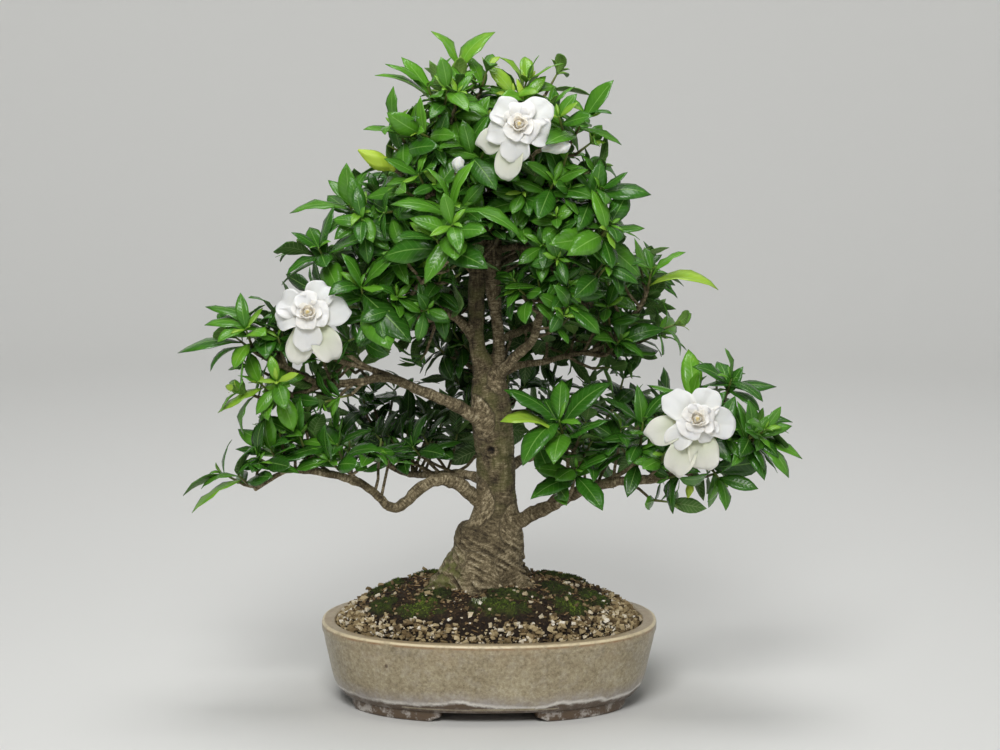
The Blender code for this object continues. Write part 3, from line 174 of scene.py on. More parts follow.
BRANCHES = (
    Branch("low_left", ((2, 0, 172), (-17, -12, 189), (-30, -18, 200), (-47, -22, 203), (-63, -28, 194),
                        (-78, -33, 182), (-88, -35, 182), (-110, -40, 202), (-140, -46, 213), (-169, -53, 218),
                        (-182, -55, 215), (-205, -58, 201)), 6.6, 2.2),
    Branch("back_left_low", ((3, 2, 196), (-22, 30, 199), (-52, 62, 193), (-84, 96, 190), (-108, 116, 206)), 5.0, 2.2),
    Branch("low_right", ((10, 0, 148), (31, -10, 166), (47, -17, 175), (64, -24, 185), (95, -40, 202),
                         (127, -52, 208), (160, -58, 214), (193, -58, 230), (212, -56, 239)), 7.2, 2.4),
    Branch("back_right_low", ((8, 2, 203), (28, 30, 211), (58, 62, 216), (98, 96, 218), (138, 120, 224)), 5.0, 2.2),
    Branch("back_low", ((6, 6, 214), (10, 46, 228), (14, 86, 240), (13, 118, 248)), 4.6, 2.2),
    Branch("mid_left", ((2, 0, 240), (-14, -14, 259), (-30, -22, 270), (-46, -28, 278), (-66, -33, 287),
                        (-88, -39, 297), (-112, -42, 294), (-146, -47, 294), (-175, -50, 307), (-192, -50, 314)),
           6.2, 2.2),
    Branch("mid_left_low", ((-138, -45, 293), (-161, -50, 286), (-180, -54, 280)), 2.6, 1.8),
    Branch("mid_left_high", ((-84, -38, 297), (-104, -38, 305), (-128, -44, 312), (-146, -58, 324)), 3.2, 2.0),
    Branch("back_mid", ((0, 4, 262), (4, 44, 281), (-4, 84, 298), (-14, 124, 314)), 4.4, 2.2),
    Branch("up_left", ((-10, -3, 322), (-24, -10, 342), (-36, -16, 350), (-48, -24, 347), (-61, -34, 350),
                       (-72, -46, 361)), 4.2, 2.8),
    Branch("up_left_front", ((-67, -40, 356), (-66, -60, 373), (-55, -76, 386), (-43, -86, 396), (-33, -95, 406)),
           2.6, 1.9),
    Branch("up_left_side", ((-62, -35, 351), (-80, -40, 352), (-98, -54, 355)), 2.6, 1.9),
    Branch("back_left_mid", ((-8, 0, 328), (-34, 40, 345), (-74, 80, 359), (-112, 106, 370)), 4.0, 2.0),
    Branch("back_right_mid", ((8, 5, 324), (42, 44, 334), (86, 78, 346), (126, 98, 358)), 4.0, 2.0),
    Branch("right_limb", ((4, 0, 284), (15, -14, 303), (25, -22, 315), (37, -29, 327), (43, -35, 345),
                          (48, -38, 359), (60, -42, 368), (83, -47, 378)), 5.4, 2.2),
    Branch("right_mid", ((4, 2, 290), (28, 8, 302), (47, 12, 304), (80, 19, 311), (98, 21, 311)), 3.6, 2.2),
    Branch("right_mid_up", ((88, 20, 311), (108, 19, 320), (121, 16, 337), (134, 10, 353)), 2.2, 1.7),
    Branch("upper_left", ((-10, -1, 392), (-30, -8, 404), (-58, -16, 410), (-88, -23, 417), (-108, -26, 424)),
           3.8, 2.0),
    Branch("bud_branch", ((-10, 1, 424), (-21, -22, 441), (-38, -42, 453), (-55, -54, 463)), 3.2, 1.9),
    Branch("crown_left", ((-11, 3, 462), (-14, -20, 484), (-24, -36, 502), (-36, -42, 516)), 3.2, 1.9),
    Branch("crown_right_front", ((5, 10, 430), (26, -14, 442), (43, -32, 452), (55, -42, 468), (66, -44, 486)),
           3.6, 1.9),
    Branch("right_upper", ((5, 9, 404), (24, -12, 409), (46, -30, 409), (70, -46, 414)), 3.6, 2.0),
    Branch("back_high_left", ((-10, 1, 396), (-22, 42, 411), (-46, 82, 426), (-70, 110, 438)), 3.8, 2.0),
    Branch("back_high_right", ((5, 9, 388), (26, 48, 398), (50, 86, 409), (74, 112, 420)), 3.8, 2.0),
    Branch("back_crown", ((-10, 3, 452), (-6, 38, 474), (2, 68, 490)), 3.4, 1.9),
)
SHOOTS = (
    Shoot("shoot_apex", "trunk", (-28, -8, 527), (-27, -12, 560), 3, 40, Age.YOUNG,
          ((-50, -16, 598), (6, -4, 597), (-24, -22, 576))),
    Shoot("shoot_apex_left", "crown_left", (-44, -42, 530), (-52, -48, 550), 3, 38, Age.GROWN,
          ((-88, -50, 569), (-97, -62, 561), (-75, -38, 576))),
    Shoot("shoot_apex_right", "right_leader", (26, 4, 530), (33, 0, 553), 3, 36, Age.YOUNG,
          ((9, 2, 575), (32, 12, 576), (44, -8, 577), (65, -22, 570))),
    Shoot("shoot_crown_left", "crown_left", (-70, -50, 500), (-80, -60, 517), 3, 40, Age.GROWN,
          ((-81, -66, 552), (-107, -64, 515), (-58, -82, 526))),
    Shoot("shoot_crown_right", "crown_right_front", (73, -46, 506), (83, -56, 525), 4, 40, Age.GROWN,
          ((107, -60, 557), (105, -78, 529), (68, -50, 542), (48, -98, 504))),
    Shoot("shoot_crown_east", "right_upper", (85, -48, 449), (95, -60, 462), 3, 42, Age.GROWN,
          ((140, -62, 459), (119, -70, 479), (96, -60, 490), (76, -92, 430))),
    Shoot("shoot_right_high", "right_upper", (94, -60, 422), (104, -72, 434), 3, 42, Age.GROWN,
          ((134, -72, 431), (65, -84, 437), (105, -98, 399), (112, -80, 452))),
    Shoot("shoot_front", "up_left_front", (-31, -102, 425), (-31, -110, 448), 4, 46, Age.YOUNG,
          ((-51, -118, 485), (-11, -116, 492), (-82, -120, 455), (28, -132, 428), (-27, -160, 412))),
    Shoot("shoot_crown_west", "bud_branch", (-52, -66, 460), (-59, -78, 477), 3, 40, Age.GROWN,
          ((-87, -90, 469), (-44, -100, 486), (-74, -108, 445))),
    Shoot("shoot_crown_heart", "crown_left", (-11, -58, 482), (-17, -70, 499), 3, 40, Age.GROWN,
          ((-43, -84, 499), (-22, -78, 524), (7, -96, 465))),
    Shoot("shoot_crown_mid", "crown_right_front", (50, -54, 456), (56, -68, 470), 3, 38, Age.GROWN,
          ((85, -84, 482), (42, -102, 441), (92, -80, 456))),
    Shoot("shoot_shoulder", "upper_left", (-116, -28, 432), (-121, -34, 448), 4, 40, Age.GROWN,
          ((-123, -38, 485), (-104, -48, 481), (-140, -30, 470), (-173, -36, 441))),
    Shoot("shoot_left_outer", "upper_left", (-140, -36, 396), (-147, -46, 411), 4, 42, Age.GROWN,
          ((-133, -50, 449), (-170, -54, 426), (-174, -62, 390), (-98, -78, 424))),
    Shoot("shoot_left_front", "up_left_side", (-106, -66, 362), (-109, -80, 381), 4, 46, Age.GROWN,
          ((-125, -88, 411), (-72, -86, 414), (-83, -118, 332), (-65, -104, 336))),
    Shoot("shoot_far_left_high", "mid_left", (-188, -48, 326), (-195, -52, 344), 4, 40, Age.GROWN,
          ((-246, -50, 361), (-245, -68, 347), (-173, -46, 368), (-190, -88, 320))),
    Shoot("shoot_far_left", "mid_left", (-207, -46, 323), (-220, -44, 333), 3, 42, Age.GROWN,
          ((-272, -40, 319), (-241, -62, 306), (-238, -26, 352))),
    Shoot("shoot_left_hanging", "mid_left_low", (-190, -56, 287), (-198, -60, 295), 3, 40, Age.LIME,
          ((-235, -66, 270), (-216, -74, 304), (-170, -82, 296))),
    Shoot("shoot_low_left_inner", "low_left", (-127, -46, 222), (-132, -54, 240), 4, 42, Age.GROWN,
          ((-127, -64, 264), (-182, -66, 228), (-102, -48, 252), (-134, -90, 236))),
    Shoot("shoot_low_left_mid", "low_left", (-158, -52, 226), (-164, -58, 247), 3, 42, Age.GROWN,
          ((-201, -54, 265), (-163, -64, 285), (-136, -58, 264), (-150, -94, 234))),
    Shoot("shoot_low_left_outer", "low_left", (-184, -54, 224), (-190, -60, 238), 3, 42, Age.GROWN,
          ((-220, -64, 238), (-192, -66, 276), (-176, -20, 244))),
    Shoot("shoot_low_left_tip", "low_left", (-210, -59, 206), (-218, -61, 214), 3, 42, Age.GROWN,
          ((-251, -60, 202), (-258, -72, 183), (-200, -76, 243))),
    Shoot("shoot_back_west", "back_left_low", (-123, 126, 221), (-131, 134, 237), 3, 42, Age.SHADED,
          ((-168, 140, 226), (-130, 136, 276), (-94, 134, 250), (-144, 158, 206))),
    Shoot("shoot_back_west_inner", "back_left_low", (-72, 98, 206), (-76, 104, 224), 3, 42, Age.SHADED,
          ((-112, 112, 232), (-40, 98, 240), (-78, 112, 262), (-64, 140, 202))),
    Shoot("shoot_right_front", "low_right", (66, -82, 246), (61, -94, 267), 4, 46, Age.GROWN,
          ((13, -104, 296), (10, -120, 271), (106, -90, 300), (101, -118, 271), (55, -142, 238), (29, -126, 234))),
    Shoot("shoot_right_low", "low_right", (74, -62, 208), (76, -76, 222), 3, 44, Age.GROWN,
          ((36, -98, 200), (98, -108, 192), (108, -90, 238))),
    Shoot("shoot_right_between", "low_right", (132, -58, 236), (134, -66, 261), 4, 40, Age.GROWN,
          ((99, -64, 283), (129, -58, 294), (96, -80, 247), (162, -58, 288))),
    Shoot("shoot_above_bloom", "low_right", (176, -38, 262), (179, -42, 282), 3, 42, Age.GROWN,
          ((184, -46, 305), (140, -42, 291), (176, -20, 320))),
    Shoot("shoot_far_right_high", "low_right", (206, -46, 278), (211, -54, 297), 4, 40, Age.GROWN,
          ((205, -60, 326), (222, -60, 310), (251, -52, 291), (236, -86, 283))),
    Shoot("shoot_far_right", "low_right", (222, -60, 245), (231, -64, 255), 3, 42, Age.GROWN,
          ((264, -66, 262), (272, -74, 231), (226, -82, 276))),
    Shoot("shoot_under_bloom", "low_right", (192, -58, 223), (200, -66, 213), 3, 42, Age.GROWN,
          ((242, -58, 226), (234, -76, 205), (205, -88, 188))),
    Shoot("shoot_right_twig", "right_mid_up", (141, 6, 369), (144, 2, 386), 3, 38, Age.YOUNG,
          ((174, -2, 404), (129, 2, 416), (203, -8, 371), (122, -22, 394))),
    Shoot("shoot_right_mid", "right_mid", (108, 4, 314), (116, -3, 325), 3, 40, Age.GROWN,
          ((116, 14, 353), (158, 8, 334), (137, -16, 311), (153, 36, 311))),
    Shoot("shoot_limb_tip", "right_limb", (91, -50, 388), (100, -57, 400), 3, 38, Age.GROWN,
          ((136, -62, 401), (93, -64, 434), (64, -80, 408), (113, -84, 374))),
    Shoot("shoot_limb_inner", "right_limb", (46, -44, 370), (43, -54, 384), 3, 36, Age.GROWN,
          ((33, -60, 406), (70, -74, 392), (14, -80, 380))),
    Shoot("shoot_back_east", "back_right_low", (150, 124, 231), (160, 130, 246), 3, 42, Age.SHADED,
          ((196, 132, 232), (164, 140, 282), (132, 130, 262), (150, 160, 232))),
    Shoot("shoot_back_low", "back_low", (12, 122, 253), (12, 130, 270), 3, 42, Age.SHADED),
    Shoot("shoot_back_mid", "back_mid", (-18, 128, 318), (-20, 136, 334), 3, 42, Age.SHADED),
    Shoot("shoot_behind_trunk", "back_mid", (-28, 60, 304), (-38, 66, 320), 3, 40, Age.SHADED,
          ((-30, 66, 358), (-72, 76, 328))),
    Shoot("shoot_back_left", "back_left_mid", (-120, 112, 377), (-130, 118, 390), 3, 42, Age.SHADED),
    Shoot("shoot_back_left_inner", "back_left_mid", (-70, 92, 370), (-72, 100, 387), 3, 42, Age.SHADED),
    Shoot("shoot_back_right", "back_right_mid", (134, 103, 366), (144, 108, 378), 3, 42, Age.SHADED),
    Shoot("shoot_back_right_inner", "back_right_mid", (80, 88, 356), (82, 95, 373), 3, 42, Age.SHADED),
    Shoot("shoot_back_high_left", "back_high_left", (-76, 117, 446), (-84, 124, 460), 3, 40, Age.SHADED),
    Shoot("shoot_back_high_inner", "back_high_left", (-34, 84, 437), (-34, 92, 455), 3, 40, Age.SHADED),
    Shoot("shoot_back_high_right", "back_high_right", (81, 118, 428), (89, 125, 442), 3, 40, Age.SHADED),
    Shoot("shoot_crown_back", "back_crown", (6, 78, 500), (7, 86, 518), 3, 40, Age.GROWN),
    Shoot("shoot_crown_back_left", "back_crown", (-38, 50, 494), (-48, 56, 508), 3, 40, Age.GROWN),
    Shoot("shoot_crown_back_right", "right_leader", (40, 44, 484), (48, 52, 498), 3, 40, Age.GROWN),
)
BLOOMS = (
    Bloom("bloom_crown", "crown_right_front", (26, -96, 518),
          ((-19, 21, 7, 12, 1), (25, 21, 8, 12, 1), (26, -8, 3, 11, 2), (-27, -4, 4, 11, 2), (-5, -29, -3, 11, 2),
           (-13, -44, 1, 10, 0), (-34, -17, 12, 10, 0), (4, 22, 2, 10, 3))),
    Bloom("bloom_left", "mid_left_high", (-153, -96, 359),
          ((15, 27, 8, 11, 1), (35, 4, 5, 11, 0), (-26, 13, 6, 11, 1), (-28, -6, 2, 9, 2), (-1, -30, -4, 11, 2),
           (23, -39, -1, 11, 0), (-12, -42, 2, 10, 0), (-3, 20, 0, 9, 3))),
    Bloom("bloom_right", "low_right", (177, -112, 270),
          ((-25, 22, 7, 12, 1), (13, 26, 8, 12, 0), (33, -4, 5, 12, 1), (9, -42, -2, 12, 0), (-20, -47, 1, 11, 0),
           (-42, -14, 8, 11, 0), (-23, -21, -2, 10, 2), (14, -14, -3, 10, 2), (3, 15, -3, 9, 3))),
)
BUDS = (
    Bud("bud_green", "bud_branch", (-80, -64, 480), (-111, -72, 498), 7.6, 0.5, True),
    Bud("bud_white", "crown_right_front", (46, -72, 498), (70, -82, 503), 6.4, 0.75, False),
    Bud("bud_pale", "crown_left", (-27, -78, 480), (-24, -92, 493), 5.4, 0.6, False),
    Bud("bud_small", "low_right", (176, -72, 212), (173, -76, 197), 3.6, 0.55, True),
)
# Leaves of the model whose tone the photograph shows plainly: the shoot and the number of the leaf's tip
TIP_TONES = {
    "shoot_right_front": {1: 0.86, 0: 0.3, 4: 0.5},
    "shoot_left_hanging": {0: 0.8},
    "shoot_right_twig": {2: 0.88, 0: 0.62},
    "shoot_apex": {1: 0.5, 0: 0.5},
    "shoot_left_front": {0: 0.42, 1: 0.45, 2: 0.5, 3: 0.16},
    "shoot_low_left_tip": {1: 0.7, 0: 0.5},
    "shoot_far_right": {1: 0.6},
    "shoot_above_bloom": {2: 0.66, 0: 0.6},
}


@dataclass(frozen=True)
class Fill:
    """Further sprays along a branch.

    They grow between two shares of its line, at the end of twigs of up to a reach, which lean toward a direction.
    """

    branch: str
    start: float
    end: float
    sprays: int
    reach: float
    leaf: float
    # How old the leaves are; SHADED is painted shade
    age: Age
    lean: tuple = (0.0, 0.0, 0.25)


FILLS = (
    Fill("trunk", 0.66, 0.8, 10, 50, 34, Age.SHADED, (0.0, 0.1, 0.2)),
    Fill("trunk", 0.8, 0.99, 18, 44, 34, Age.GROWN, (-0.2, -0.2, 0.3)),
    Fill("right_leader", 0.4, 0.66, 10, 50, 34, Age.SHADED, (0.2, 0.1, 0.2)),
    Fill("right_leader", 0.66, 0.99, 18, 44, 34, Age.GROWN, (0.3, -0.2, 0.3)),
    Fill("crown_left", 0.2, 1.0, 12, 32, 34, Age.GROWN, (-0.2, -0.2, 0.3)),
    Fill("crown_right_front", 0.25, 1.0, 14, 34, 34, Age.GROWN, (0.4, 0.0, 0.2)),
    Fill("bud_branch", 0.3, 1.0, 12, 34, 34, Age.GROWN, (-0.3, -0.2, 0.0)),
    Fill("upper_left", 0.25, 1.0, 17, 38, 35, Age.GROWN, (0.0, -0.1, 0.1)),
    Fill("up_left", 0.55, 1.0, 8, 36, 35, Age.GROWN, (0.0, 0.0, 0.2)),
    Fill("up_left_front", 0.15, 0.85, 4, 26, 34, Age.GROWN, (-0.1, 0.0, 0.1)),
    Fill("up_left_side", 0.2, 1.0, 8, 34, 36, Age.GROWN, (-0.2, 0.0, 0.2)),
    Fill("back_left_mid", 0.25, 1.0, 18, 42, 36, Age.SHADED, (-0.1, 0.0, 0.1)),
    Fill("back_right_mid", 0.25, 1.0, 18, 42, 36, Age.SHADED, (0.1, 0.0, 0.1)),
    Fill("back_high_left", 0.2, 1.0, 18, 40, 35, Age.SHADED),
    Fill("back_high_right", 0.2, 1.0, 18, 40, 35, Age.SHADED),
    Fill("back_crown", 0.15, 1.0, 20, 40, 34, Age.GROWN),
    Fill("right_upper", 0.25, 1.0, 15, 38, 35, Age.GROWN, (0.1, 0.0, 0.3)),
    Fill("right_limb", 0.45, 1.0, 9, 32, 32, Age.GROWN, (0.0, 0.1, 0.2)),
    Fill("right_mid", 0.45, 1.0, 8, 30, 34, Age.GROWN, (0.1, 0.2, 0.5)),
    Fill("right_mid_up", 0.1, 1.0, 9, 28, 32, Age.GROWN, (0.1, 0.0, 0.1)),
    Fill("mid_left", 0.55, 1.0, 11, 34, 36, Age.GROWN, (0.0, 0.3, 0.7)),
    Fill("mid_left_high", 0.2, 1.0, 7, 34, 36, Age.GROWN, (0.0, 0.4, 0.2)),
    Fill("mid_left_low", 0.5, 1.0, 1, 12, 28, Age.YOUNG, (-0.2, 0.0, 0.2)),
    Fill("low_left", 0.5, 0.93, 10, 36, 36, Age.GROWN, (0.0, 0.4, 1.2)),
    Fill("back_left_low", 0.25, 1.0, 20, 52, 38, Age.SHADED, (0.0, -0.1, 0.9)),
    Fill("back_low", 0.25, 1.0, 14, 44, 38, Age.SHADED, (0.0, 0.0, 0.5)),
    Fill("back_mid", 0.3, 1.0, 16, 44, 38, Age.SHADED, (-0.1, 0.0, 0.2)),
    Fill("back_right_low", 0.25, 1.0, 16, 46, 38, Age.SHADED, (0.0, 0.0, 0.5)),
    Fill("low_right", 0.4, 1.0, 13, 34, 36, Age.GROWN, (0.1, 0.2, 0.5)),
)

# Where the photograph shows bare wood: no further leaf stands in front of it (x, x, z, z, and the deepest y)
BARE = (
    (-26, 36, 110, 348, 16), (-232, -20, 166, 219, 10), (-130, -15, 236, 304, 6), (28, 100, 110, 192, 200),
    (-272, 28, 110, 197, 200), (100, 215, 110, 178, 200),
    (20, 96, 294, 318, 45), (-114, -76, 470, 506, -50), (-24, 4, 348, 398, 8),
)
BLOOM_FACING = Vector((0.0, -0.95, 0.31)).normalized()
BLOOM_BACK = 10.0
GAP = 0.3
LEAF_ARCH = math.radians(38.0)
LEAF_FOLD = math.radians(20.0)
LEAF_HALF_WIDTH = 0.21
LEAF_STALK = 0.25


def colour(code: str) -> tuple[float, float, float, float]:
    """Turn an sRGB hex value into a linear colour.

    Args:
        code: The colour as "#rrggbb".

    Returns:
        Red, green, blue and alpha.
    """
    shares = [int(code[start:start + 2], 16) / 255.0 for start in (1, 3, 5)]
    linear = [share / 12.92 if share <= 0.04045 else ((share + 0.055) / 1.055) ** 2.4 for share in shares]
    return linear[0], linear[1], linear[2], 1.0


def add_node(material: Material, kind: str, sockets: dict | None = None,
             **settings: object) -> bpy.types.Node:
    """Add a node to a material.

    Args:
        material: The material.
        kind: The node's type.
        sockets: A value or an output socket to link for each named or numbered input.
        settings: The node's own settings.

    Returns:
        The new node.
    """
    node = material.node_tree.nodes.new(kind)
    for name, value in settings.items():
        setattr(node, name, value)
    for name, value in (sockets or {}).items():
        socket = next((entry for entry in node.inputs if entry.name == name and entry.enabled), None) \
            if isinstance(name, str) else node.inputs[name]
        if isinstance(value, Socket):
            material.node_tree.links.new(value, socket)
        else:
            socket.default_value = value
    return node


def to_mesh(bm: BMesh, name: str) -> Mesh:
    """Store a mesh in the making.

    Args:
        bm: The mesh in the making, which is freed.
        name: The stored mesh's name.

    Returns:
        The stored mesh.
    """
    mesh = bpy.data.meshes.new(name)
    bm.to_mesh(mesh)
    bm.free()
    return mesh


def to_object(name: str, data: bpy.types.ID) -> Object:
    """Put a mesh, a light or a camera into the scene.

    Args:
        name: The object's name.
        data: What it shows.

    Returns:
        The object.
    """
    made = bpy.data.objects.new(name, data)
    bpy.context.scene.collection.objects.link(made)
    return made


def index_places(places: list) -> KDTree:
    """Index places, to find the nearest ones.

    Args:
        places: The places.

    Returns:
        Their tree.
    """
    tree = KDTree(len(places))
    for index, place in enumerate(places):
        tree.insert(place, index)
    tree.balance()
    return tree


def turns(count: int) -> list[float]:
    """Return angles spread evenly round a circle."""
    return [FULL_TURN * number / count for number in range(count)]


def any_turn(draw: random.Random, axis: Vector | str, size: int = 4) -> Matrix:
    """Draw a turn round an axis."""
    return Matrix.Rotation(draw.uniform(*ANY_ANGLE), size, axis)


def rough(x: float, y: float, size: float, layer: float) -> float:
    """Return a smooth random height between -1 and 1, in lumps of a size."""
    return noise.noise(Vector((x / size, y / size, layer)))


def smooth_route(points: Iterable[tuple], step: float) -> Route:
    """Follow a Catmull-Rom curve through places, whose further numbers, such as a radius, are blended too.

    Args:
        points: The places.
        step: The wished distance between two places of the result.

    Returns:
        The places on the curve.
    """
    places = [tuple(float(value) for value in point) for point in points]
    ghost_start = tuple(2.0 * a - b for a, b in zip(places[0], places[1]))
    ghost_end = tuple(2.0 * a - b for a, b in zip(places[-1], places[-2]))
    track = [ghost_start, *places, ghost_end]
    route: Route = []
    for index in range(1, len(track) - 2):
        before, start, end, after = track[index - 1:index + 3]
        pieces = max(1, round(math.dist(start[:3], end[:3]) / step))
        for piece in range(pieces):
            t = piece / pieces
            route.append(tuple(
                0.5 * (2.0 * b + (c - a) * t + (2.0 * a - 5.0 * b + 4.0 * c - d) * t * t
                       + (3.0 * b - a - 3.0 * c + d) * t ** 3)
                for a, b, c, d in zip(before, start, end, after)))
    route.append(places[-1])
    return route


def shaped_grid(bm: BMesh, columns: int, rows: int,
                place: Callable[[float, float], Vector]) -> list[bmesh.types.BMVert]:
    """Add a grid with a UV map and bend it to a surface; points that meet, as at a seam or pole, are merged.

    Args:
        bm: The mesh, with a UV layer.
        columns: The faces across.
        rows: The faces along.
        place: The place, in metres, of the shares across and along.

    Returns:
        The points that are left.
    """
    made = bmesh.ops.create_grid(bm, x_segments=columns, y_segments=rows, size=1.0, calc_uvs=True)["verts"]
    for vert in made:
        vert.co = place((vert.co.x + 1.0) / 2.0, (vert.co.y + 1.0) / 2.0)
    bmesh.ops.remove_doubles(bm, verts=made, dist=1e-6)
    return [vert for vert in made if vert.is_valid]


def ring_skin(bm: BMesh, rings: Rings) -> list[bmesh.types.BMVert]:
    """Add a closed solid whose skin runs over rings of equal length.

    Args:
        bm: The mesh, with a UV layer.
        rings: The rings' points in millimetres.

    Returns:
        The solid's points.
    """
    sides = len(rings[0])
    rows = len(rings) - 1

    def place(across: float, along: float) -> Vector:
        """Return a ring's point."""
        return rings[round(along * rows)][round(across * sides) % sides] * MM

    points = shaped_grid(bm, sides, rows, place)
    edges = {edge for vert in points for edge in vert.link_edges if edge.is_boundary}
    bmesh.ops.holes_fill(bm, edges=list(edges), sides=0)
    faces = {face for vert in points for face in vert.link_faces}
    bmesh.ops.recalc_face_normals(bm, faces=list(faces))
    return points


def tube_rings(line: Route, sides: int, swell: Callable[[float, float], float] | None = None) -> Rings:
    """Work out the rings of a round tube along a route.

    Args:
        line: Places with radii.
        sides: The points of each ring.
        swell: The radius's factor for an angle and a height.

    Returns:
        The rings.
    """
    centres = [Vector(place[:3]) for place in line]
    rings: Rings = []
    side_way = Vector()
    for index, centre in enumerate(centres):
        along = (centres[min(index + 1, len(centres) - 1)] - centres[max(index - 1, 0)]).normalized()
        if index == 0:
            side_way = along.cross(UP if abs(along.z) < 0.9 else RIGHT)
        side_way = (side_way - along * side_way.dot(along)).normalized()
        up_way = along.cross(side_way)
        ring = []
        for angle in turns(sides):
            factor = swell(angle, centre.z) if swell else 1.0
            ring.append(centre + (side_way * math.cos(angle) + up_way * math.sin(angle)) * line[index][3] * factor)
        rings.append(ring)
    return rings


def start_mesh(*layers: str) -> BMesh:
    """Start a mesh with a UV map and with layers of one number a point.

    Args:
        layers: The layers' names.

    Returns:
        The mesh.
    """
    bm = bmesh.new()
    bm.loops.layers.uv.new("surface")
    for layer in layers:
        bm.verts.layers.float.new(layer)
    return bm


def bake(bm: BMesh, add_modifiers: Callable[[Object], None]) -> BMesh:
    """Run a mesh through modifiers.

    Args:
        bm: The mesh, which is freed.
        add_modifiers: Adds the modifiers to a passing object.

    Returns:
        The new mesh.
    """
    passing = to_object("passing", to_mesh(bm, "passing"))
    add_modifiers(passing)
    made = bmesh.new()
    made.from_mesh(bpy.data.meshes.new_from_object(passing.evaluated_get(bpy.context.evaluated_depsgraph_get())))
    bpy.data.objects.remove(passing, do_unlink=True)
    return made


def finish_piece(bm: BMesh, name: str, materials: Iterable[Material],
                 slot: str, nodes: Iterable[str] = (), smooth: bool = True) -> Object:
    """Make a finished piece from a mesh and let it ride on the model.

    Args:
        bm: The mesh, which is freed.
        name: The piece's name.
        materials: Its materials.
        slot: The record's material slot; not used.
        nodes: The model's nodes that it replaces.
        smooth: Whether it is shaded smooth.

    Returns:
        The piece.
    """
    mesh = to_mesh(bm, name)
    if smooth:
        mesh.shade_smooth()
    for material in materials:
        mesh.materials.append(material)
    piece = to_object(name, mesh)
    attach(piece, BODY)
    if nodes:
        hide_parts(*nodes)
    LOG.info("%s: %d faces", name, len(mesh.polygons))
    return piece


def smoothstep(low: float, high: float, value: float) -> float:
    """Blend softly from 0 at low to 1 at high.

    Args:
        low: Where the blend starts.
        high: Where it ends.
        value: The value.

    Returns:
        The share.
    """
    share = min(max((value - low) / (high - low), 0.0), 1.0)
    return share * share * (3.0 - 2.0 * share)


class Shade:
    """A material in the making: each call adds a pattern and returns its output."""

    def __init__(self, name: str, roughness: float, **inputs: float | tuple) -> None:
        """Start the material.

        Args:
            name: Its name.
            roughness: The shader's roughness.
            inputs: Fixed values of the shader's other inputs, with _ for a space.
        """
        self.material = bpy.data.materials.new(name)
        self.material.use_nodes = True
        self.shader = self.material.node_tree.nodes["Principled BSDF"]
        self.shader.inputs["Roughness"].default_value = roughness
        for title, value in inputs.items():
            self.shader.inputs[title.replace("_", " ")].default_value = value

    def add(self, kind: str, sockets: dict | None = None, **settings: object) -> bpy.types.Node:
        """Add a node, with the prefix of its type left out."""
        return add_node(self.material, "ShaderNode" + kind, sockets, **settings)

    def attribute(self, name: str, output: str = "Fac") -> Socket:
        """Return an attribute of the piece's points."""
        return self.add("Attribute", attribute_name=name).outputs[output]

    def coords(self) -> Socket:
        """Return the Object coordinates."""
        return self.add("TexCoord").outputs["Object"]

    def surface(self) -> Socket:
        """Return the UV map's coordinates."""
        return self.add("UVMap", uv_map="surface").outputs[0]

    def parts(self, vector: Socket) -> list[Socket]:
        """Return a vector's three parts."""
        return list(self.add("SeparateXYZ", {0: vector}).outputs)

    def noise(self, scale: float, vector: Socket | None = None, **sockets: float) -> Socket:
        """Return a noise over a vector, or else over the Object coordinates."""
        where = self.coords() if vector is None else vector
        return self.add("TexNoise", {"Vector": where, "Scale": scale, **sockets}).outputs[0]

    def reckon(self, operation: str, *values: Socket | float) -> Socket:
        """Return the result of an operation on values."""
        return self.add("Math", dict(enumerate(values)), operation=operation).outputs[0]

    def add_scaled(self, value: Socket, share: float, base: Socket, less: float) -> Socket:
        """Return a base, plus a share of a value, less a number."""
        return self.reckon("SUBTRACT", self.reckon("MULTIPLY_ADD", value, share, base), less)

    def fade(self, value: Socket, low: float, high: float, start: float, end: float, **settings: str) -> Socket:
        """Return the fade from a start, where a value is low, to an end, where it is high."""
        return self.add("MapRange", {"Value": value, "From Min": low, "From Max": high, "To Min": start,
                                     "To Max": end}, **settings).outputs[0]

    def mix(self, share: Socket, under: Socket, over: Socket | tuple) -> Socket:
        """Return a colour that lies over another by a share."""
        return self.add("Mix", {"Factor": share, "A": under, "B": over}, data_type="RGBA").outputs["Result"]

    def ramp(self, value: Socket, stops: Iterable[tuple[float, str]]) -> Socket:
        """Blend colours by a value.

        Args:
            value: The value.
            stops: Each stop's place and hex colour.

        Returns:
            The blended colour.
        """
        ramp = self.add("ValToRGB", {0: value})
        elements = ramp.color_ramp.elements
        for index, (position, code) in enumerate(stops):
            stop = elements[index] if index < 2 else elements.new(position)
            stop.position = position
            stop.color = colour(code)
        return ramp.outputs["Color"]

    def finish(self, paint: Socket | None, height: Socket | None = None, strength: float = 1.0,
               distance: float = 0.0) -> Material:
        """Link the colour and the bump to the shader.

        Args:
            paint: The colour's pattern, or nothing where it is fixed.
            height: The bump's pattern, if it has one.
            strength: The bump's strength.
            distance: The bump's height in metres.

        Returns:
            The finished material.
        """
        links = self.material.node_tree.links
        if paint is not None:
            links.new(paint, self.shader.inputs["Base Color"])
        if height is not None:
            bump = self.add("Bump", {"Height": height, "Strength": strength, "Distance": distance})
            links.new(bump.outputs[0], self.shader.inputs["Normal"])
        return self.material


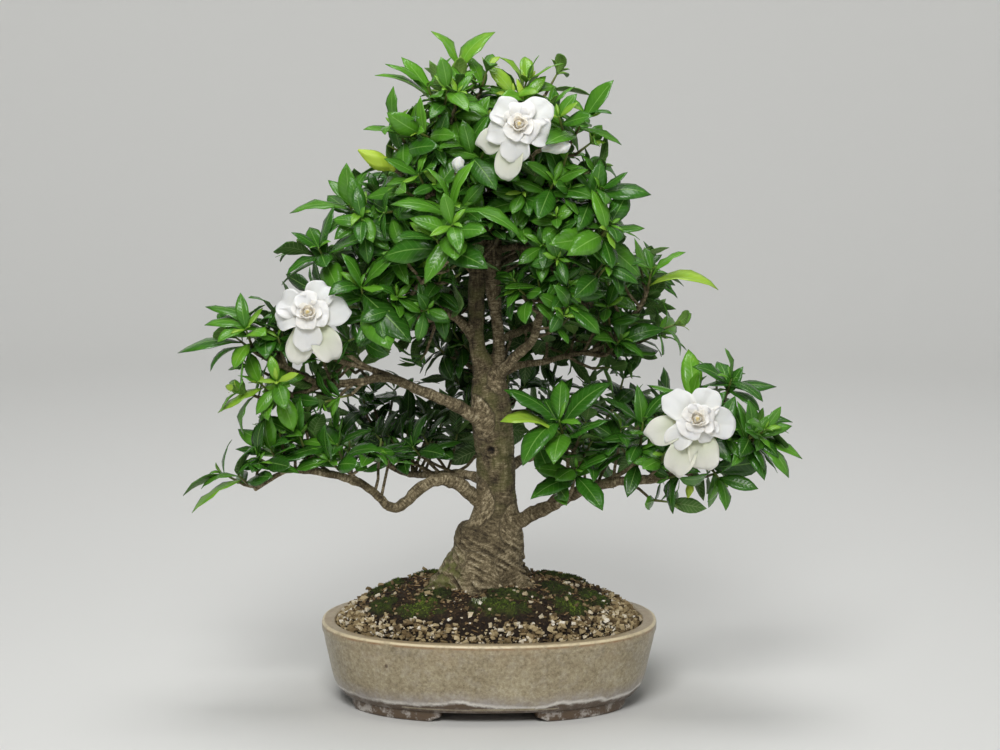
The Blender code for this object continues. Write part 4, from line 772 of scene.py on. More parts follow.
@dataclass(frozen=True)
class LeafFinish:
    """Gardenia leaf: a thick waxy blade. The wax gives it soft white highlights, and its veins are sunk in."""

    name: str = "waxy_leaf"
    # The lowest tones paint shade on the SHADED leaves; the brightest also take the painted top light of the crown's
    # upper leaves.
    tones: tuple = ((0.0, "#1d3a0f"), (0.35, "#34691a"), (0.65, "#5f9a26"), (1.0, "#aecb45"))
    vein: str = "#9cc968"
    vein_share: float = 0.08
    rib_share: float = 0.4
    roughness: float = 0.26
    vein_pairs: float = 10.0
    vein_rise: float = 1.7
    relief: float = 0.00027

    def build(self) -> Material:
        """Make the material, which reads the UV map across and along a leaf, and the "tone" attribute.

        Returns:
            The material.
        """
        shade = Shade(self.name, self.roughness, IOR=1.45)
        across, along, _ = shade.parts(shade.surface())
        side = shade.reckon("ABSOLUTE", shade.reckon("SUBTRACT", across, 0.5))
        climb = shade.reckon("MULTIPLY", side, -2.0 * self.vein_rise)
        wave = shade.reckon("PINGPONG", shade.reckon("MULTIPLY_ADD", along, self.vein_pairs, climb), 0.5)
        side_vein = shade.fade(wave, 0.0, 0.12, self.vein_share, 0.0, interpolation_type="SMOOTHSTEP")
        rib = shade.fade(side, 0.008, 0.038, self.rib_share, 0.0, interpolation_type="SMOOTHSTEP")
        veins = shade.reckon("MAXIMUM", side_vein, rib)
        level = shade.add_scaled(shade.noise(90.0), 0.24, shade.attribute("tone"), 0.12)
        paint = shade.mix(veins, shade.ramp(level, self.tones), colour(self.vein))
        quilt = shade.reckon("SUBTRACT", shade.reckon("POWER", wave, 0.5), veins)
        return shade.finish(paint, quilt, 0.5, self.relief)


@dataclass(frozen=True)
class StemFinish:
    """Green wood: a young stem whose skin is smooth and slightly waxy, browner towards its foot."""

    name: str = "green_stem"
    tones: tuple = ((0.0, "#5d5238"), (0.5, "#66702f"), (1.0, "#6f9a34"))
    roughness: float = 0.5

    def build(self) -> Material:
        """Make the material, which reads the UV map's share along the stem."""
        shade = Shade(self.name, self.roughness)
        return shade.finish(shade.ramp(shade.parts(shade.surface())[1], self.tones))


@dataclass(frozen=True)
class BarkFinish:
    """Old gardenia bark: grey-brown cork with a little moss; its pale wrinkles and dark cracks are partly its own
    colour and partly painted light and shade.
    """

    name: str = "corky_bark"
    # The darkest stops paint shade into the cracks, folds, scar and knot hole; the palest paint light onto the ridges.
    tones: tuple = ((0.0, "#140e07"), (0.28, "#3f3423"), (0.55, "#716449"), (0.8, "#b0a181"), (1.0, "#e0d6bc"))
    moss: str = "#6d7238"
    roughness: float = 0.85
    patterns: tuple = (((0.16, 0.16, 0.62), 1.0), ((0.45, 0.45, 0.08), 0.5), ((0.05, 0.05, 0.05), 0.6),
                       ((0.8, 0.8, 1.5), 0.8))

    def build(self) -> Material:
        """Make the material, which reads the "relief" attribute, a colour share with painted light and shade, and the
        "moss" and "grain" attributes.

        Returns:
            The material.
        """
        shade = Shade(self.name, self.roughness)
        grain = shade.attribute("grain", "Vector")
        level = shade.attribute("relief")
        for stretch, share in self.patterns:
            placed = shade.add("Mapping", {0: grain, "Scale": stretch}).outputs[0]
            centred = shade.reckon("SUBTRACT", shade.noise(1.0, placed, Detail=4.0, Roughness=0.62), 0.5)
            level = shade.reckon("MULTIPLY_ADD", centred, share, level)
        paint = shade.mix(shade.attribute("moss"), shade.ramp(level, self.tones), colour(self.moss))
        return shade.finish(paint, level, 1.0, 0.0013)


@dataclass(frozen=True)
class GlazeFinish:
    """Stoneware glaze over iron-bearing clay: satin grey-beige with brown specks, and a cream line along the rim's
    edge that is a painted highlight.

    Under the glaze's wavy end the clay is bare and brown, with a crust and a violet haze of limescale over it.
    """

    name: str = "satin_glaze"
    tones: tuple = ((0.0, "#625740"), (0.36, "#8e8166"), (0.6, "#a89c80"), (1.0, "#cec3a6"))
    speck: str = "#56422a"
    haze: str = "#a29b9c"
    lime: str = "#ded9d2"
    clay: str = "#54412d"
    rust: str = "#8f6a42"
    rim: str = "#bba98a"
    # A painted highlight: the cream line along the rim's outer edge
    worn: str = "#e6d6b2"
    chip: tuple = (-0.0888, 0.0, 0.0514)
    roughness: float = 0.34

    def build(self) -> Material:
        """Make the material, which reads Object coordinates and the "above" and "inset" attributes in millimetres.

        Returns:
            The material.
        """
        shade = Shade(self.name, self.roughness, IOR=1.5)
        coords = shade.coords()
        clouds = shade.noise(26.0, coords, Detail=8.0, Roughness=0.68)
        mottle = shade.noise(330.0, coords, Detail=4.0, Roughness=0.7)
        ragged = shade.noise(95.0, coords, Detail=6.0, Roughness=0.7)
        level = shade.reckon("MULTIPLY_ADD", mottle, 1.7, clouds)
        paint = shade.ramp(shade.reckon("MULTIPLY_ADD", level, 0.74, -0.52), self.tones)
        dots = shade.add("TexVoronoi", {"Vector": coords, "Scale": 380.0}).outputs["Distance"]
        _, front, height = shade.parts(coords)
        flat = shade.add("VectorMath", {0: coords, 1: (1.0, 0.0, 0.8)}, operation="MULTIPLY").outputs[0]
        chip = shade.add("VectorMath", {0: flat, 1: (self.chip[0], 0.0, self.chip[2] * 0.8)},
                         operation="DISTANCE").outputs["Value"]
        inset = shade.attribute("inset")
        waved = shade.add_scaled(ragged, 7.0, shade.attribute("above"), 3.5)
        # Each layer's colour, and the fades (pattern, low, high, start, end) whose product is its share
        layers = (
            (self.speck, ((dots, 0.08, 0.24, 0.4, 0.0),)),
            (self.speck, ((chip, 0.0009, 0.0021, 1.0, 0.0), (front, -0.001, 0.001, 1.0, 0.0))),
            (self.rust, ((height, 0.045, 0.071, 0.0, 0.28), (clouds, 0.45, 0.62, 0.0, 1.0))),
            (self.haze, ((waved, 1.0, 14.0, 0.85, 0.0), (ragged, 0.3, 0.6, 0.2, 1.0))),
            (self.clay, ((waved, 0.0, 1.1, 0.92, 0.0),)),
            (self.lime, ((waved, 1.4, 3.4, 1.0, 0.0), (waved, -2.0, 0.4, 0.0, 1.0), (clouds, 0.4, 0.5, 0.35, 1.0))),
            (self.lime, ((height, 0.0, 0.013, 0.75, 0.1), (ragged, 0.5, 0.6, 0.0, 1.0))),
            (self.rust, ((height, 0.0695, 0.0712, 0.0, 0.8), (ragged, 0.38, 0.6, 0.1, 1.0),
                         (inset, 7.0, 11.0, 1.0, 0.2))),
            (self.rim, ((height, 0.0724, 0.0735, 0.0, 1.0), (ragged, 0.44, 0.64, 0.95, 0.45),
                        (inset, 9.0, 11.5, 1.0, 0.3))),
            # A painted highlight: a thin cream line along the rim's outer edge
            (self.worn, ((height, 0.0716, 0.0728, 0.0, 1.0), (inset, 1.2, 2.4, 1.0, 0.0),
                         (ragged, 0.34, 0.52, 0.3, 1.0))),
        )
        for code, masks in layers:
            share, *further = [shade.fade(*mask) for mask in masks]
            for mask in further:
                share = shade.reckon("MULTIPLY", share, mask)
            paint = shade.mix(share, paint, colour(code))
        return shade.finish(paint, level, 0.4, 0.0006)


@dataclass(frozen=True)
class EarthFinish:
    """Damp bonsai soil: dark humus, with paler grit where the surface is raised, a green skin under moss, and painted
    shade that darkens it in the grit band along the wall.
    """

    name: str = "damp_humus"
    tones: tuple = ((0.0, "#0f0a05"), (0.42, "#261b11"), (0.6, "#493822"), (0.8, "#7d6a4b"), (1.0, "#b0a080"))
    green: tuple = ((0.0, "#15190a"), (0.45, "#353b15"), (0.7, "#5b6423"), (1.0, "#8a9440"))
    roughness: float = 0.95

    def build(self) -> Material:
        """Make the material, which reads Object coordinates, the "moss" attribute and the "stony" attribute, which
        marks the painted shade between the grit.

        Returns:
            The material.
        """
        shade = Shade(self.name, self.roughness)
        crumbs = shade.noise(300.0, Detail=7.0, Roughness=0.75)
        # Painted shade: the soil is made darker where grit lies thick along the wall, as shade between the stones.
        crumbs = shade.reckon("MULTIPLY_ADD", shade.attribute("stony"), -0.1, crumbs)
        humus, moss = shade.ramp(crumbs, self.tones), shade.ramp(crumbs, self.green)
        return shade.finish(shade.mix(shade.attribute("moss"), humus, moss), crumbs, 1.0, 0.003)


@dataclass(frozen=True)
class ToneFinish:
    """A small repeated thing, such as a grit grain or moss leaf, whose colour is drawn for each one."""

    name: str
    tones: tuple
    roughness: float
    scale: float = 700.0

    def build(self) -> Material:
        """Make the material, which reads Object coordinates and the "tone" attribute.

        Returns:
            The material.
        """
        shade = Shade(self.name, self.roughness)
        mottle = shade.noise(self.scale, Detail=3.0)
        level = shade.add_scaled(mottle, 0.3, shade.attribute("tone"), 0.15)
        return shade.finish(shade.ramp(level, self.tones), mottle, 0.5, 0.0006)


@dataclass(frozen=True)
class PetalFinish:
    """Gardenia petal: thick white flesh that light enters a little, creamy at the heart and green at the foot, with
    painted warm shade in the heart's crevices and toward each petal's root.
    """

    name: str = "fleshy_petal"
    # The warm orange stops are partly the heart's cream and partly painted shade in its crevices.
    tones: tuple = ((0.0, "#f2efea"), (0.35, "#f0e7d2"), (0.6, "#f3d48c"), (1.0, "#e39a34"))
    foot: str = "#b9c98a"
    roughness: float = 0.55
    glow: float = 0.55
    glow_reach: tuple = (1.0, 0.9, 0.75)
    glow_depth: float = 0.004

    def build(self) -> Material:
        """Make the material, which reads the UV map and the "tone" and "foot" attributes.

        Returns:
            The material.
        """
        shade = Shade(self.name, self.roughness, Subsurface_Weight=self.glow, Subsurface_Radius=self.glow_reach,
                      Subsurface_Scale=self.glow_depth)
        flesh = shade.ramp(shade.attribute("tone"), self.tones)
        lines = shade.add("TexWave", {"Vector": shade.surface(), "Scale": 7.0, "Distortion": 1.5}).outputs["Fac"]
        return shade.finish(shade.mix(shade.attribute("foot"), flesh, colour(self.foot)), lines, 0.12, 0.0004)


@dataclass(frozen=True)
class PlasticFinish:
    """Moulded polyethylene mesh: black, with a faint grain from the mould."""

    name: str = "moulded_mesh"
    shade: str = "#1b1b1a"
    roughness: float = 0.5

    def build(self) -> Material:
        """Make the material, which reads Object coordinates."""
        shade = Shade(self.name, self.roughness, Base_Color=colour(self.shade))
        return shade.finish(None, shade.noise(900.0), 0.2, 0.0002)


@dataclass
class Wood:
    """The trunk, roots, leaders, branches and woody twigs."""

    coarse_step: float = 28.0
    depth_step: float = 6.0
    fine_step: float = 5.0
    bark_step: float = 1.5
    trunk_sides: int = 48
    leader_sides: int = 28
    root_sides: int = 24
    branch_sides: int = 18
    twig_sides: int = 6
    twig_step: float = 6.0
    twig_ease: float = 0.38
    twig_end_radius: float = 1.5
    twig_knobs: float = 0.13
    twig_relief: float = 0.54
    trunk_sink: float = 8.0
    voxel: float = 1.38
    quick_voxel: float = 2.4

    def __post_init__(self) -> None:
        """Work out the routes as the model has them, and index the places on them."""
        routes = {"trunk": TRUNK, "right_leader": RIGHT_LEADER}
        routes.update((branch.name, self.knots(branch)) for branch in BRANCHES)
        self.lines = {name: smooth_route(route, self.coarse_step) for name, route in routes.items()}
        self.spots = [spot for line in self.lines.values() for spot in smooth_route(line, self.depth_step)]
        self.tree = index_places([spot[:3] for spot in self.spots])

    def depth(self, point: Vector) -> float:
        """Return how far a point lies inside the wood, which is negative outside it, in millimetres."""
        return max(self.spots[index][3] - away for _, index, away in self.tree.find_n(point, 3))

    @staticmethod
    def knots(branch: Branch) -> list[tuple]:
        """Give a branch's route a radius at each place.

        Args:
            branch: The branch.

        Returns:
            The places with radii.
        """
        last = len(branch.route) - 1
        return [(*point, branch.start_radius + (branch.end_radius - branch.start_radius) * index / last)
                for index, point in enumerate(branch.route)]

    def twig(self, parent: str, foot: Vector, heading: Vector) -> Route:
        """Lead a twig from its parent branch to a foot.

        Args:
            parent: The branch's name.
            foot: Where the twig ends.
            heading: The direction that it ends in.

        Returns:
            The twig's places with radii.
        """
        line = self.lines[parent]
        places = [Vector(point[:3]) for point in line]
        distances = [(place - foot).length for place in places]
        nearest = min(range(len(places)), key=distances.__getitem__)
        back_off = nearest
        walked = 0.0
        while back_off > 1 and walked < 0.6 * distances[nearest]:
            walked += (places[back_off] - places[back_off - 1]).length
            back_off -= 1
        start = places[back_off]
        reach = (foot - start).length
        along = (places[min(back_off + 1, len(places) - 1)] - places[max(back_off - 1, 0)]).normalized()
        leaving = (along + (foot - start).normalized()).normalized()
        first = start + leaving * reach * self.twig_ease
        last = foot - heading * reach * self.twig_ease
        start_radius = max(min(line[back_off][3] * 0.75, 2.6), 1.7)
        pieces = max(3, round(reach / self.twig_step))
        route: Route = []
        for piece in range(pieces + 1):
            t = piece / pieces
            s = 1.0 - t
            place = s ** 3 * start + 3.0 * s * s * t * first + 3.0 * s * t * t * last + t ** 3 * foot
            radius = start_radius + (self.twig_end_radius - start_radius) * t
            route.append((*place, radius * (1.0 + self.twig_knobs * (piece % 2))))
        return route

    def build_limbs(self, material: Material) -> None:
        """Make the trunk, roots, leaders and branches as one skin with carved bark.

        Args:
            material: The bark.
        """
        bm = start_mesh()

        def flute(angle: float, height: float) -> float:
            """Return the trunk's fluting."""
            return 1.0 + 0.05 * math.sin(3.0 * angle + height / 21.0)

        def grow_together(passing: Object) -> None:
            """Turn the crossing tubes into one skin.

            Args:
                passing: The passing object.
            """
            remesh = passing.modifiers.new("skin", "REMESH")
            remesh.mode = "VOXEL"
            remesh.voxel_size = self.voxel * MM
            soften = passing.modifiers.new("soften", "SMOOTH")
            soften.factor = 0.5
            soften.iterations = 3

        (x, y, z, radius), *rest = smooth_route(TRUNK, self.fine_step)
        ring_skin(bm, tube_rings([(x, y, z - self.trunk_sink, radius), *rest], self.trunk_sides, flute))
        for knots, sides in [(RIGHT_LEADER, self.leader_sides)] + [(root, self.root_sides) for root in ROOTS]:
            ring_skin(bm, tube_rings(smooth_route(knots, self.fine_step), sides))
        for branch in BRANCHES:
            ring_skin(bm, tube_rings(self.knobbly(branch), self.branch_sides))
        skin = bake(bm, grow_together)
        routes = (TRUNK, RIGHT_LEADER, *ROOTS, *map(self.knots, BRANCHES))
        Bark([smooth_route(route, self.bark_step) for route in routes]).carve(skin)
        finish_piece(skin, "wood_limbs", (material,), "bark", ("wood",))

    def knobbly(self, branch: Branch) -> Route:
        """Give a branch's route small swellings, where twigs and leaves grew once.

        Args:
            branch: The branch.

        Returns:
            The places with radii.
        """
        draw = random.Random(branch.name + "knobs")
        places = []
        for *centre, radius in smooth_route(self.knots(branch), self.fine_step):
            sway = 0.16 * radius
            places.append((*(value + draw.uniform(-sway, sway) for value in centre),
                           radius * draw.uniform(0.94, 1.12)))
        return places

    def build_twigs(self, routes: list[Route], material: Material) -> None:
        """Make the woody twigs.

        Args:
            routes: The twigs' places with radii.
            material: The bark.
        """
        bm = start_mesh("relief")
        grain = bm.verts.layers.float_vector.new("grain")
        relief = bm.verts.layers.float["relief"]
        for number, route in enumerate(routes):
            for vert in ring_skin(bm, tube_rings(route, self.twig_sides)):
                vert[relief] = self.twig_relief
                vert[grain] = vert.co / MM + RIGHT * number
        finish_piece(bm, "wood_twigs", (material,), "bark")


@dataclass
class Bark:
    """The relief of old bark: transverse wrinkles, cracks along the wood, and folds round the trunk's foot, with a
    colour share that paints light onto its ridges and shade into its cracks, folds, scar and knot hole.
    """

    paths: list[Route]
    ring_pitch: float = 3.3
    fold_pitch: float = 7.4
    fold_turns: int = 15
    knot: tuple = (2.0, -17.5, 229.0)

    def __post_init__(self) -> None:
        """Index the paths' places, leaving out those inside the trunk."""
        self.spots: list[tuple[Vector, Vector, Vector, float, float, int]] = []
        for number, path in enumerate(self.paths):
            centres = [Vector(place[:3]) for place in path]
            side_way = Vector((0.37, 0.81, 0.45))
            walked = 0.0
            for index, centre in enumerate(centres):
                ahead = centres[min(index + 1, len(centres) - 1)]
                along = (ahead - centres[max(index - 1, 0)]).normalized()
                side_way = (side_way - along * side_way.dot(along)).normalized()
                if index:
                    walked += (centre - centres[index - 1]).length
                if number and self.is_inside_trunk(centre):
                    continue
                self.spots.append((centre, along, side_way, walked, path[index][3], number))
        self.tree = index_places([spot[0] for spot in self.spots])

    def is_inside_trunk(self, place: Vector) -> bool:
        """Say whether a place lies well inside the trunk."""
        nearest = min(self.paths[0], key=lambda spot: abs(spot[2] - place.z))
        return math.dist(nearest[:2], place[:2]) < nearest[3] * 0.9

    def height(self, point: Vector) -> tuple[float, float, float, Vector]:
        """Work out the bark's relief at a place.

        Args:
            point: The place on the smooth wood, in millimetres.

        Returns:
            The relief in millimetres, its colour share from crack to ridge, partly the bark's own colour and partly
            painted light and shade, the share of moss, and the place across and along the wood, in millimetres.
        """
        _, index, _ = self.tree.find(point)
        centre, along, side_way, walked, radius, number = self.spots[index]
        offset = point - centre
        walked += offset.dot(along)
        across = offset.dot(side_way)
        other = offset.dot(along.cross(side_way))
        grain = Vector((across + 31.0 * number, other, walked))
        girth = min(max(radius / 16.0, 0.2), 1.0)
        warp = noise.noise(Vector((across / 8.0, other / 8.0, walked / 17.0))) * 1.5
        ring = 1.0 - abs(math.sin(math.pi * (walked / self.ring_pitch + warp)))
        ring *= smoothstep(-0.25, 0.3, noise.noise(grain / 6.5 + Vector((0.0, 9.0, 0.0))))
        crack = abs(noise.noise(Vector((across / 4.6, other / 4.6, walked / 21.0 + 7.0))))
        crack = 1.0 - smoothstep(0.0, 0.09, crack)
        lump = noise.noise(Vector((across / 8.0, other / 8.0, walked / 9.0 + 31.0)))
        flake = noise.noise(Vector((across / 3.2, other / 3.2, walked / 2.6 + 57.0)))
        relief = (0.4 * ring - 0.5 * crack + 0.8 * lump + 0.3 * flake) * (0.3 + 0.7 * girth)
        # The share paints the ridges lighter and the cracks darker: partly the bark's own colour, partly painted light
        # and shade.
        share = (0.55 if number else 0.44) + 0.13 * ring - 0.16 * crack + 0.1 * lump + 0.08 * flake
        foot = 1.0 - smoothstep(126.0, 168.0, point.z + 7.0 * noise.noise(point / 14.0))
        if foot > 0.0 and radius > 3.0:
            turn = math.atan2(point.x, -point.y) / FULL_TURN
            phase = point.z / self.fold_pitch + turn * self.fold_turns + noise.noise(point / 26.0) * 1.1
            depth = smoothstep(-0.35, 0.25, noise.noise(point / 15.0 + Vector((4.0, 0.0, 0.0))))
            step = phase % 1.0
            fold = (1.0 - step) ** 0.7 * smoothstep(0.0, 0.16, step) - 0.5
            relief = relief * (1.0 - 0.5 * foot) + (fold * 3.3 * depth + noise.noise(point / 13.0) * 1.9) * foot
            # Painted light and shade: the folds' ridges are made lighter and their creases darker.
            share = 0.47 + (share - 0.47) * (1.0 - 0.5 * foot) + (fold * 0.66 * depth + 0.06) * foot
            left = smoothstep(0.15, 0.85, -point.x / max(math.hypot(point.x, point.y), 1.0))
            relief += 7.0 * left * smoothstep(0.0, 8.0, 163.0 - point.z) * smoothstep(130.0, 150.0, point.z)
        scar = 1.0 - smoothstep(0.0, 2.0, abs(point.z - 222.5 - 2.0 * noise.noise(point / 9.0)))
        if number == 0:
            # Painted shade: the scar's sunk groove on the trunk is painted darker.
            relief -= 0.7 * scar
            share -= 0.16 * scar
        away = (point - Vector(self.knot)).length
        if away < 10.0:
            # Painted shade: the knot hole is sunk and painted dark in its middle, with a slightly paler rim.
            relief += 1.9 * math.exp(-((away - 5.0) / 1.7) ** 2) - 3.2 * math.exp(-(away / 2.7) ** 2)
            share += 0.12 * math.exp(-((away - 5.0) / 1.7) ** 2) - 0.75 * math.exp(-(away / 2.6) ** 2)
        left_root = smoothstep(-18.0, -34.0, point.x) * foot * smoothstep(-0.2, 0.3, noise.noise(point / 5.0))
        film = 0.34 * smoothstep(160.0, 200.0, point.z) * smoothstep(-0.2, 0.4, noise.noise(point / 12.0))
        film *= smoothstep(4.0, 9.0, away) * (number == 0)
        return relief, min(max(share, 0.0), 1.0), max(0.75 * left_root, film), grain

    def carve(self, bm: BMesh) -> None:
        """Raise and sink a wood mesh's points by the relief.

        Args:
            bm: The mesh, in metres.
        """
        bm.loops.layers.uv.new("surface")
        layers = bm.verts.layers
        tone_and_shade_layer, moss_layer = layers.float.new("relief"), layers.float.new("moss")
        grain_layer = layers.float_vector.new("grain")
        bm.normal_update()
        moves = []
        for vert in bm.verts:
            # The "relief" layer takes the colour share, with its painted light and shade; the relief itself moves the
            # points.
            relief, vert[tone_and_shade_layer], vert[moss_layer], vert[grain_layer] = self.height(vert.co / MM)
            moves.append(vert.normal * relief * MM)
        for vert, move in zip(bm.verts, moves):
            vert.co += move


@dataclass
class Pot:
    """The glazed pot: a low oval bowl with a rolled rim and four feet."""

    half_length: float = 150.0
    half_width: float = 112.0
    squareness: float = 2.25
    sides: int = 192
    outside: tuple = ((28, 8), (21, 9.2), (17, 11), (10.5, 22), (4, 50), (1.5, 62), (0.6, 65.0), (0, 66.6), (0, 71.8),
                      (0.5, 73.2), (1.8, 74))
    inside: tuple = ((9.8, 74), (11.4, 73.4), (12.3, 71.5), (17, 32), (18.5, 22), (24, 16))
    foot_insets: tuple = (20.0, 32.0)
    foot_top: float = 11.5
    foot_turns: tuple = (22.0, 73.0)
    drain_x: float = 55.0
    drain_radius: float = 11.0

    def spot(self, angle: float, inset: float, height: float) -> Vector:
        """Find a place on the pot's oval.

        Args:
            angle: The angle round the pot.
            inset: How far the place lies in from the pot's greatest outline.
            height: Its height.

        Returns:
            The place, in millimetres.
        """
        cosine = math.cos(angle)
        sine = math.sin(angle)
        power = 2.0 / self.squareness
        return Vector(((self.half_length - inset) * math.copysign(abs(cosine) ** power, cosine),
                       (self.half_width - inset) * math.copysign(abs(sine) ** power, sine), height))

    def glaze_edge(self, angle: float) -> float:
        """Work out where the glaze ends above the bare foot.

        Args:
            angle: The angle round the pot.

        Returns:
            The height there, in millimetres.
        """
        round_way = Vector((math.cos(angle), math.sin(angle), 0.0))
        wave = 17.0 + 4.5 * noise.noise(round_way * 2.3)
        return wave + 2.6 * noise.noise(round_way * 8.0 + RIGHT * 5.0)

    def build(self, material: Material) -> None:
        """Make the pot.

        Args:
            material: The glaze.
        """
        outside = smooth_route([(inset, height, 0.0) for inset, height in self.outside], 1.3)
        inside = smooth_route([(inset, height, 0.0) for inset, height in self.inside], 4.0)
        rings = []
        for inset, height, _ in outside + inside:
            ring = []
            for angle in turns(self.sides):
                place = self.spot(angle, inset, height)
                thick = smoothstep(-0.8, 0.8, height - self.glaze_edge(angle)) * 0.45
                sway = noise.noise(place / 45.0) * 0.7 + noise.noise(place / 14.0) * 0.15
                ring.append(self.spot(angle, inset - (thick + sway) * (inset < 9.0 or height < 70.0), height))
            rings.append(ring)
        bm = start_mesh()
        ring_skin(bm, rings)
        bm = bake(bm, self.drill)
        bm.loops.layers.uv.verify()
        for turn_x, turn_y in ((1, 1), (-1, 1), (-1, -1), (1, -1)):
            ring_skin(bm, self.foot_rings(turn_x, turn_y))
        self.mark(bm)
        finish_piece(bm, "glazed_pot", (material,), "glaze", ("pot",))

    def foot_rings(self, turn_x: int, turn_y: int) -> Rings:
        """Work out one foot's rounded cross-sections.

        Args:
            turn_x: 1 for the right side, -1 for the left.
            turn_y: 1 for the back, -1 for the front.

        Returns:
            The cross-sections.
        """
        rings = []
        stations, corners, boxy = 26, 16, 0.35
        middle = sum(self.foot_insets) / 2.0
        half = (self.foot_insets[1] - self.foot_insets[0]) / 2.0
        for station in range(stations + 1):
            share = station / stations
            angle = math.radians(self.foot_turns[0] + (self.foot_turns[1] - self.foot_turns[0]) * share)
            low = 4.0 * (1.0 - smoothstep(0.0, 0.09, min(share, 1.0 - share)))
            ring = []
            for corner in range(corners):
                turn = FULL_TURN * (corner + 0.5) / corners
                wide = math.copysign(abs(math.cos(turn)) ** boxy, math.cos(turn))
                tall = math.copysign(abs(math.sin(turn)) ** boxy, math.sin(turn))
                height = (self.foot_top + low) / 2.0 + tall * (self.foot_top - low) / 2.0
                place = self.spot(angle, middle + wide * half, height)
                ring.append(Vector((place.x * turn_x, place.y * turn_y, place.z)))
            rings.append(ring)
        return rings

    def drill(self, bowl: Object) -> None:
        """Cut the drain holes.

        Args:
            bowl: The passing bowl.
        """
        bm = bmesh.new()
        radius = self.drain_radius * MM
        for side in (-1.0, 1.0):
            bmesh.ops.create_cone(bm, cap_ends=True, segments=40, radius1=radius, radius2=radius, depth=0.03,
                                  matrix=Matrix.Translation((side * self.drain_x * MM, 0.0, 0.012)))
        cut = bowl.modifiers.new("drain", "BOOLEAN")
        cut.operation = "DIFFERENCE"
        cut.object = bpy.data.objects.new("drill", to_mesh(bm, "drill"))

    def mark(self, bm: BMesh) -> None:
        """Write each point's height above the glaze's end and its distance in from the oval, in millimetres.

        Args:
            bm: The pot's mesh.
        """
        above_layer, inset_layer = bm.verts.layers.float.new("above"), bm.verts.layers.float.new("inset")
        for vert in bm.verts:
            place = vert.co / MM
            angle = math.atan2(place.y / self.half_width, place.x / self.half_length)
            reach = ((abs(place.x) / self.half_length) ** self.squareness
                     + (abs(place.y) / self.half_width) ** self.squareness) ** (1.0 / self.squareness)
            inside = place.z > 13.0 and reach < 0.86 + 0.0009 * place.z
            vert[above_layer] = 40.0 if inside else place.z - self.glaze_edge(angle)
            vert[inset_layer] = (1.0 - reach) * 130.0


@dataclass(frozen=True)
class MossPatch:
    """A cushion of moss on the soil: its middle, its half sizes and its share of bright tufts."""

    x: float
    y: float
    half_x: float
    half_y: float
    bright: float


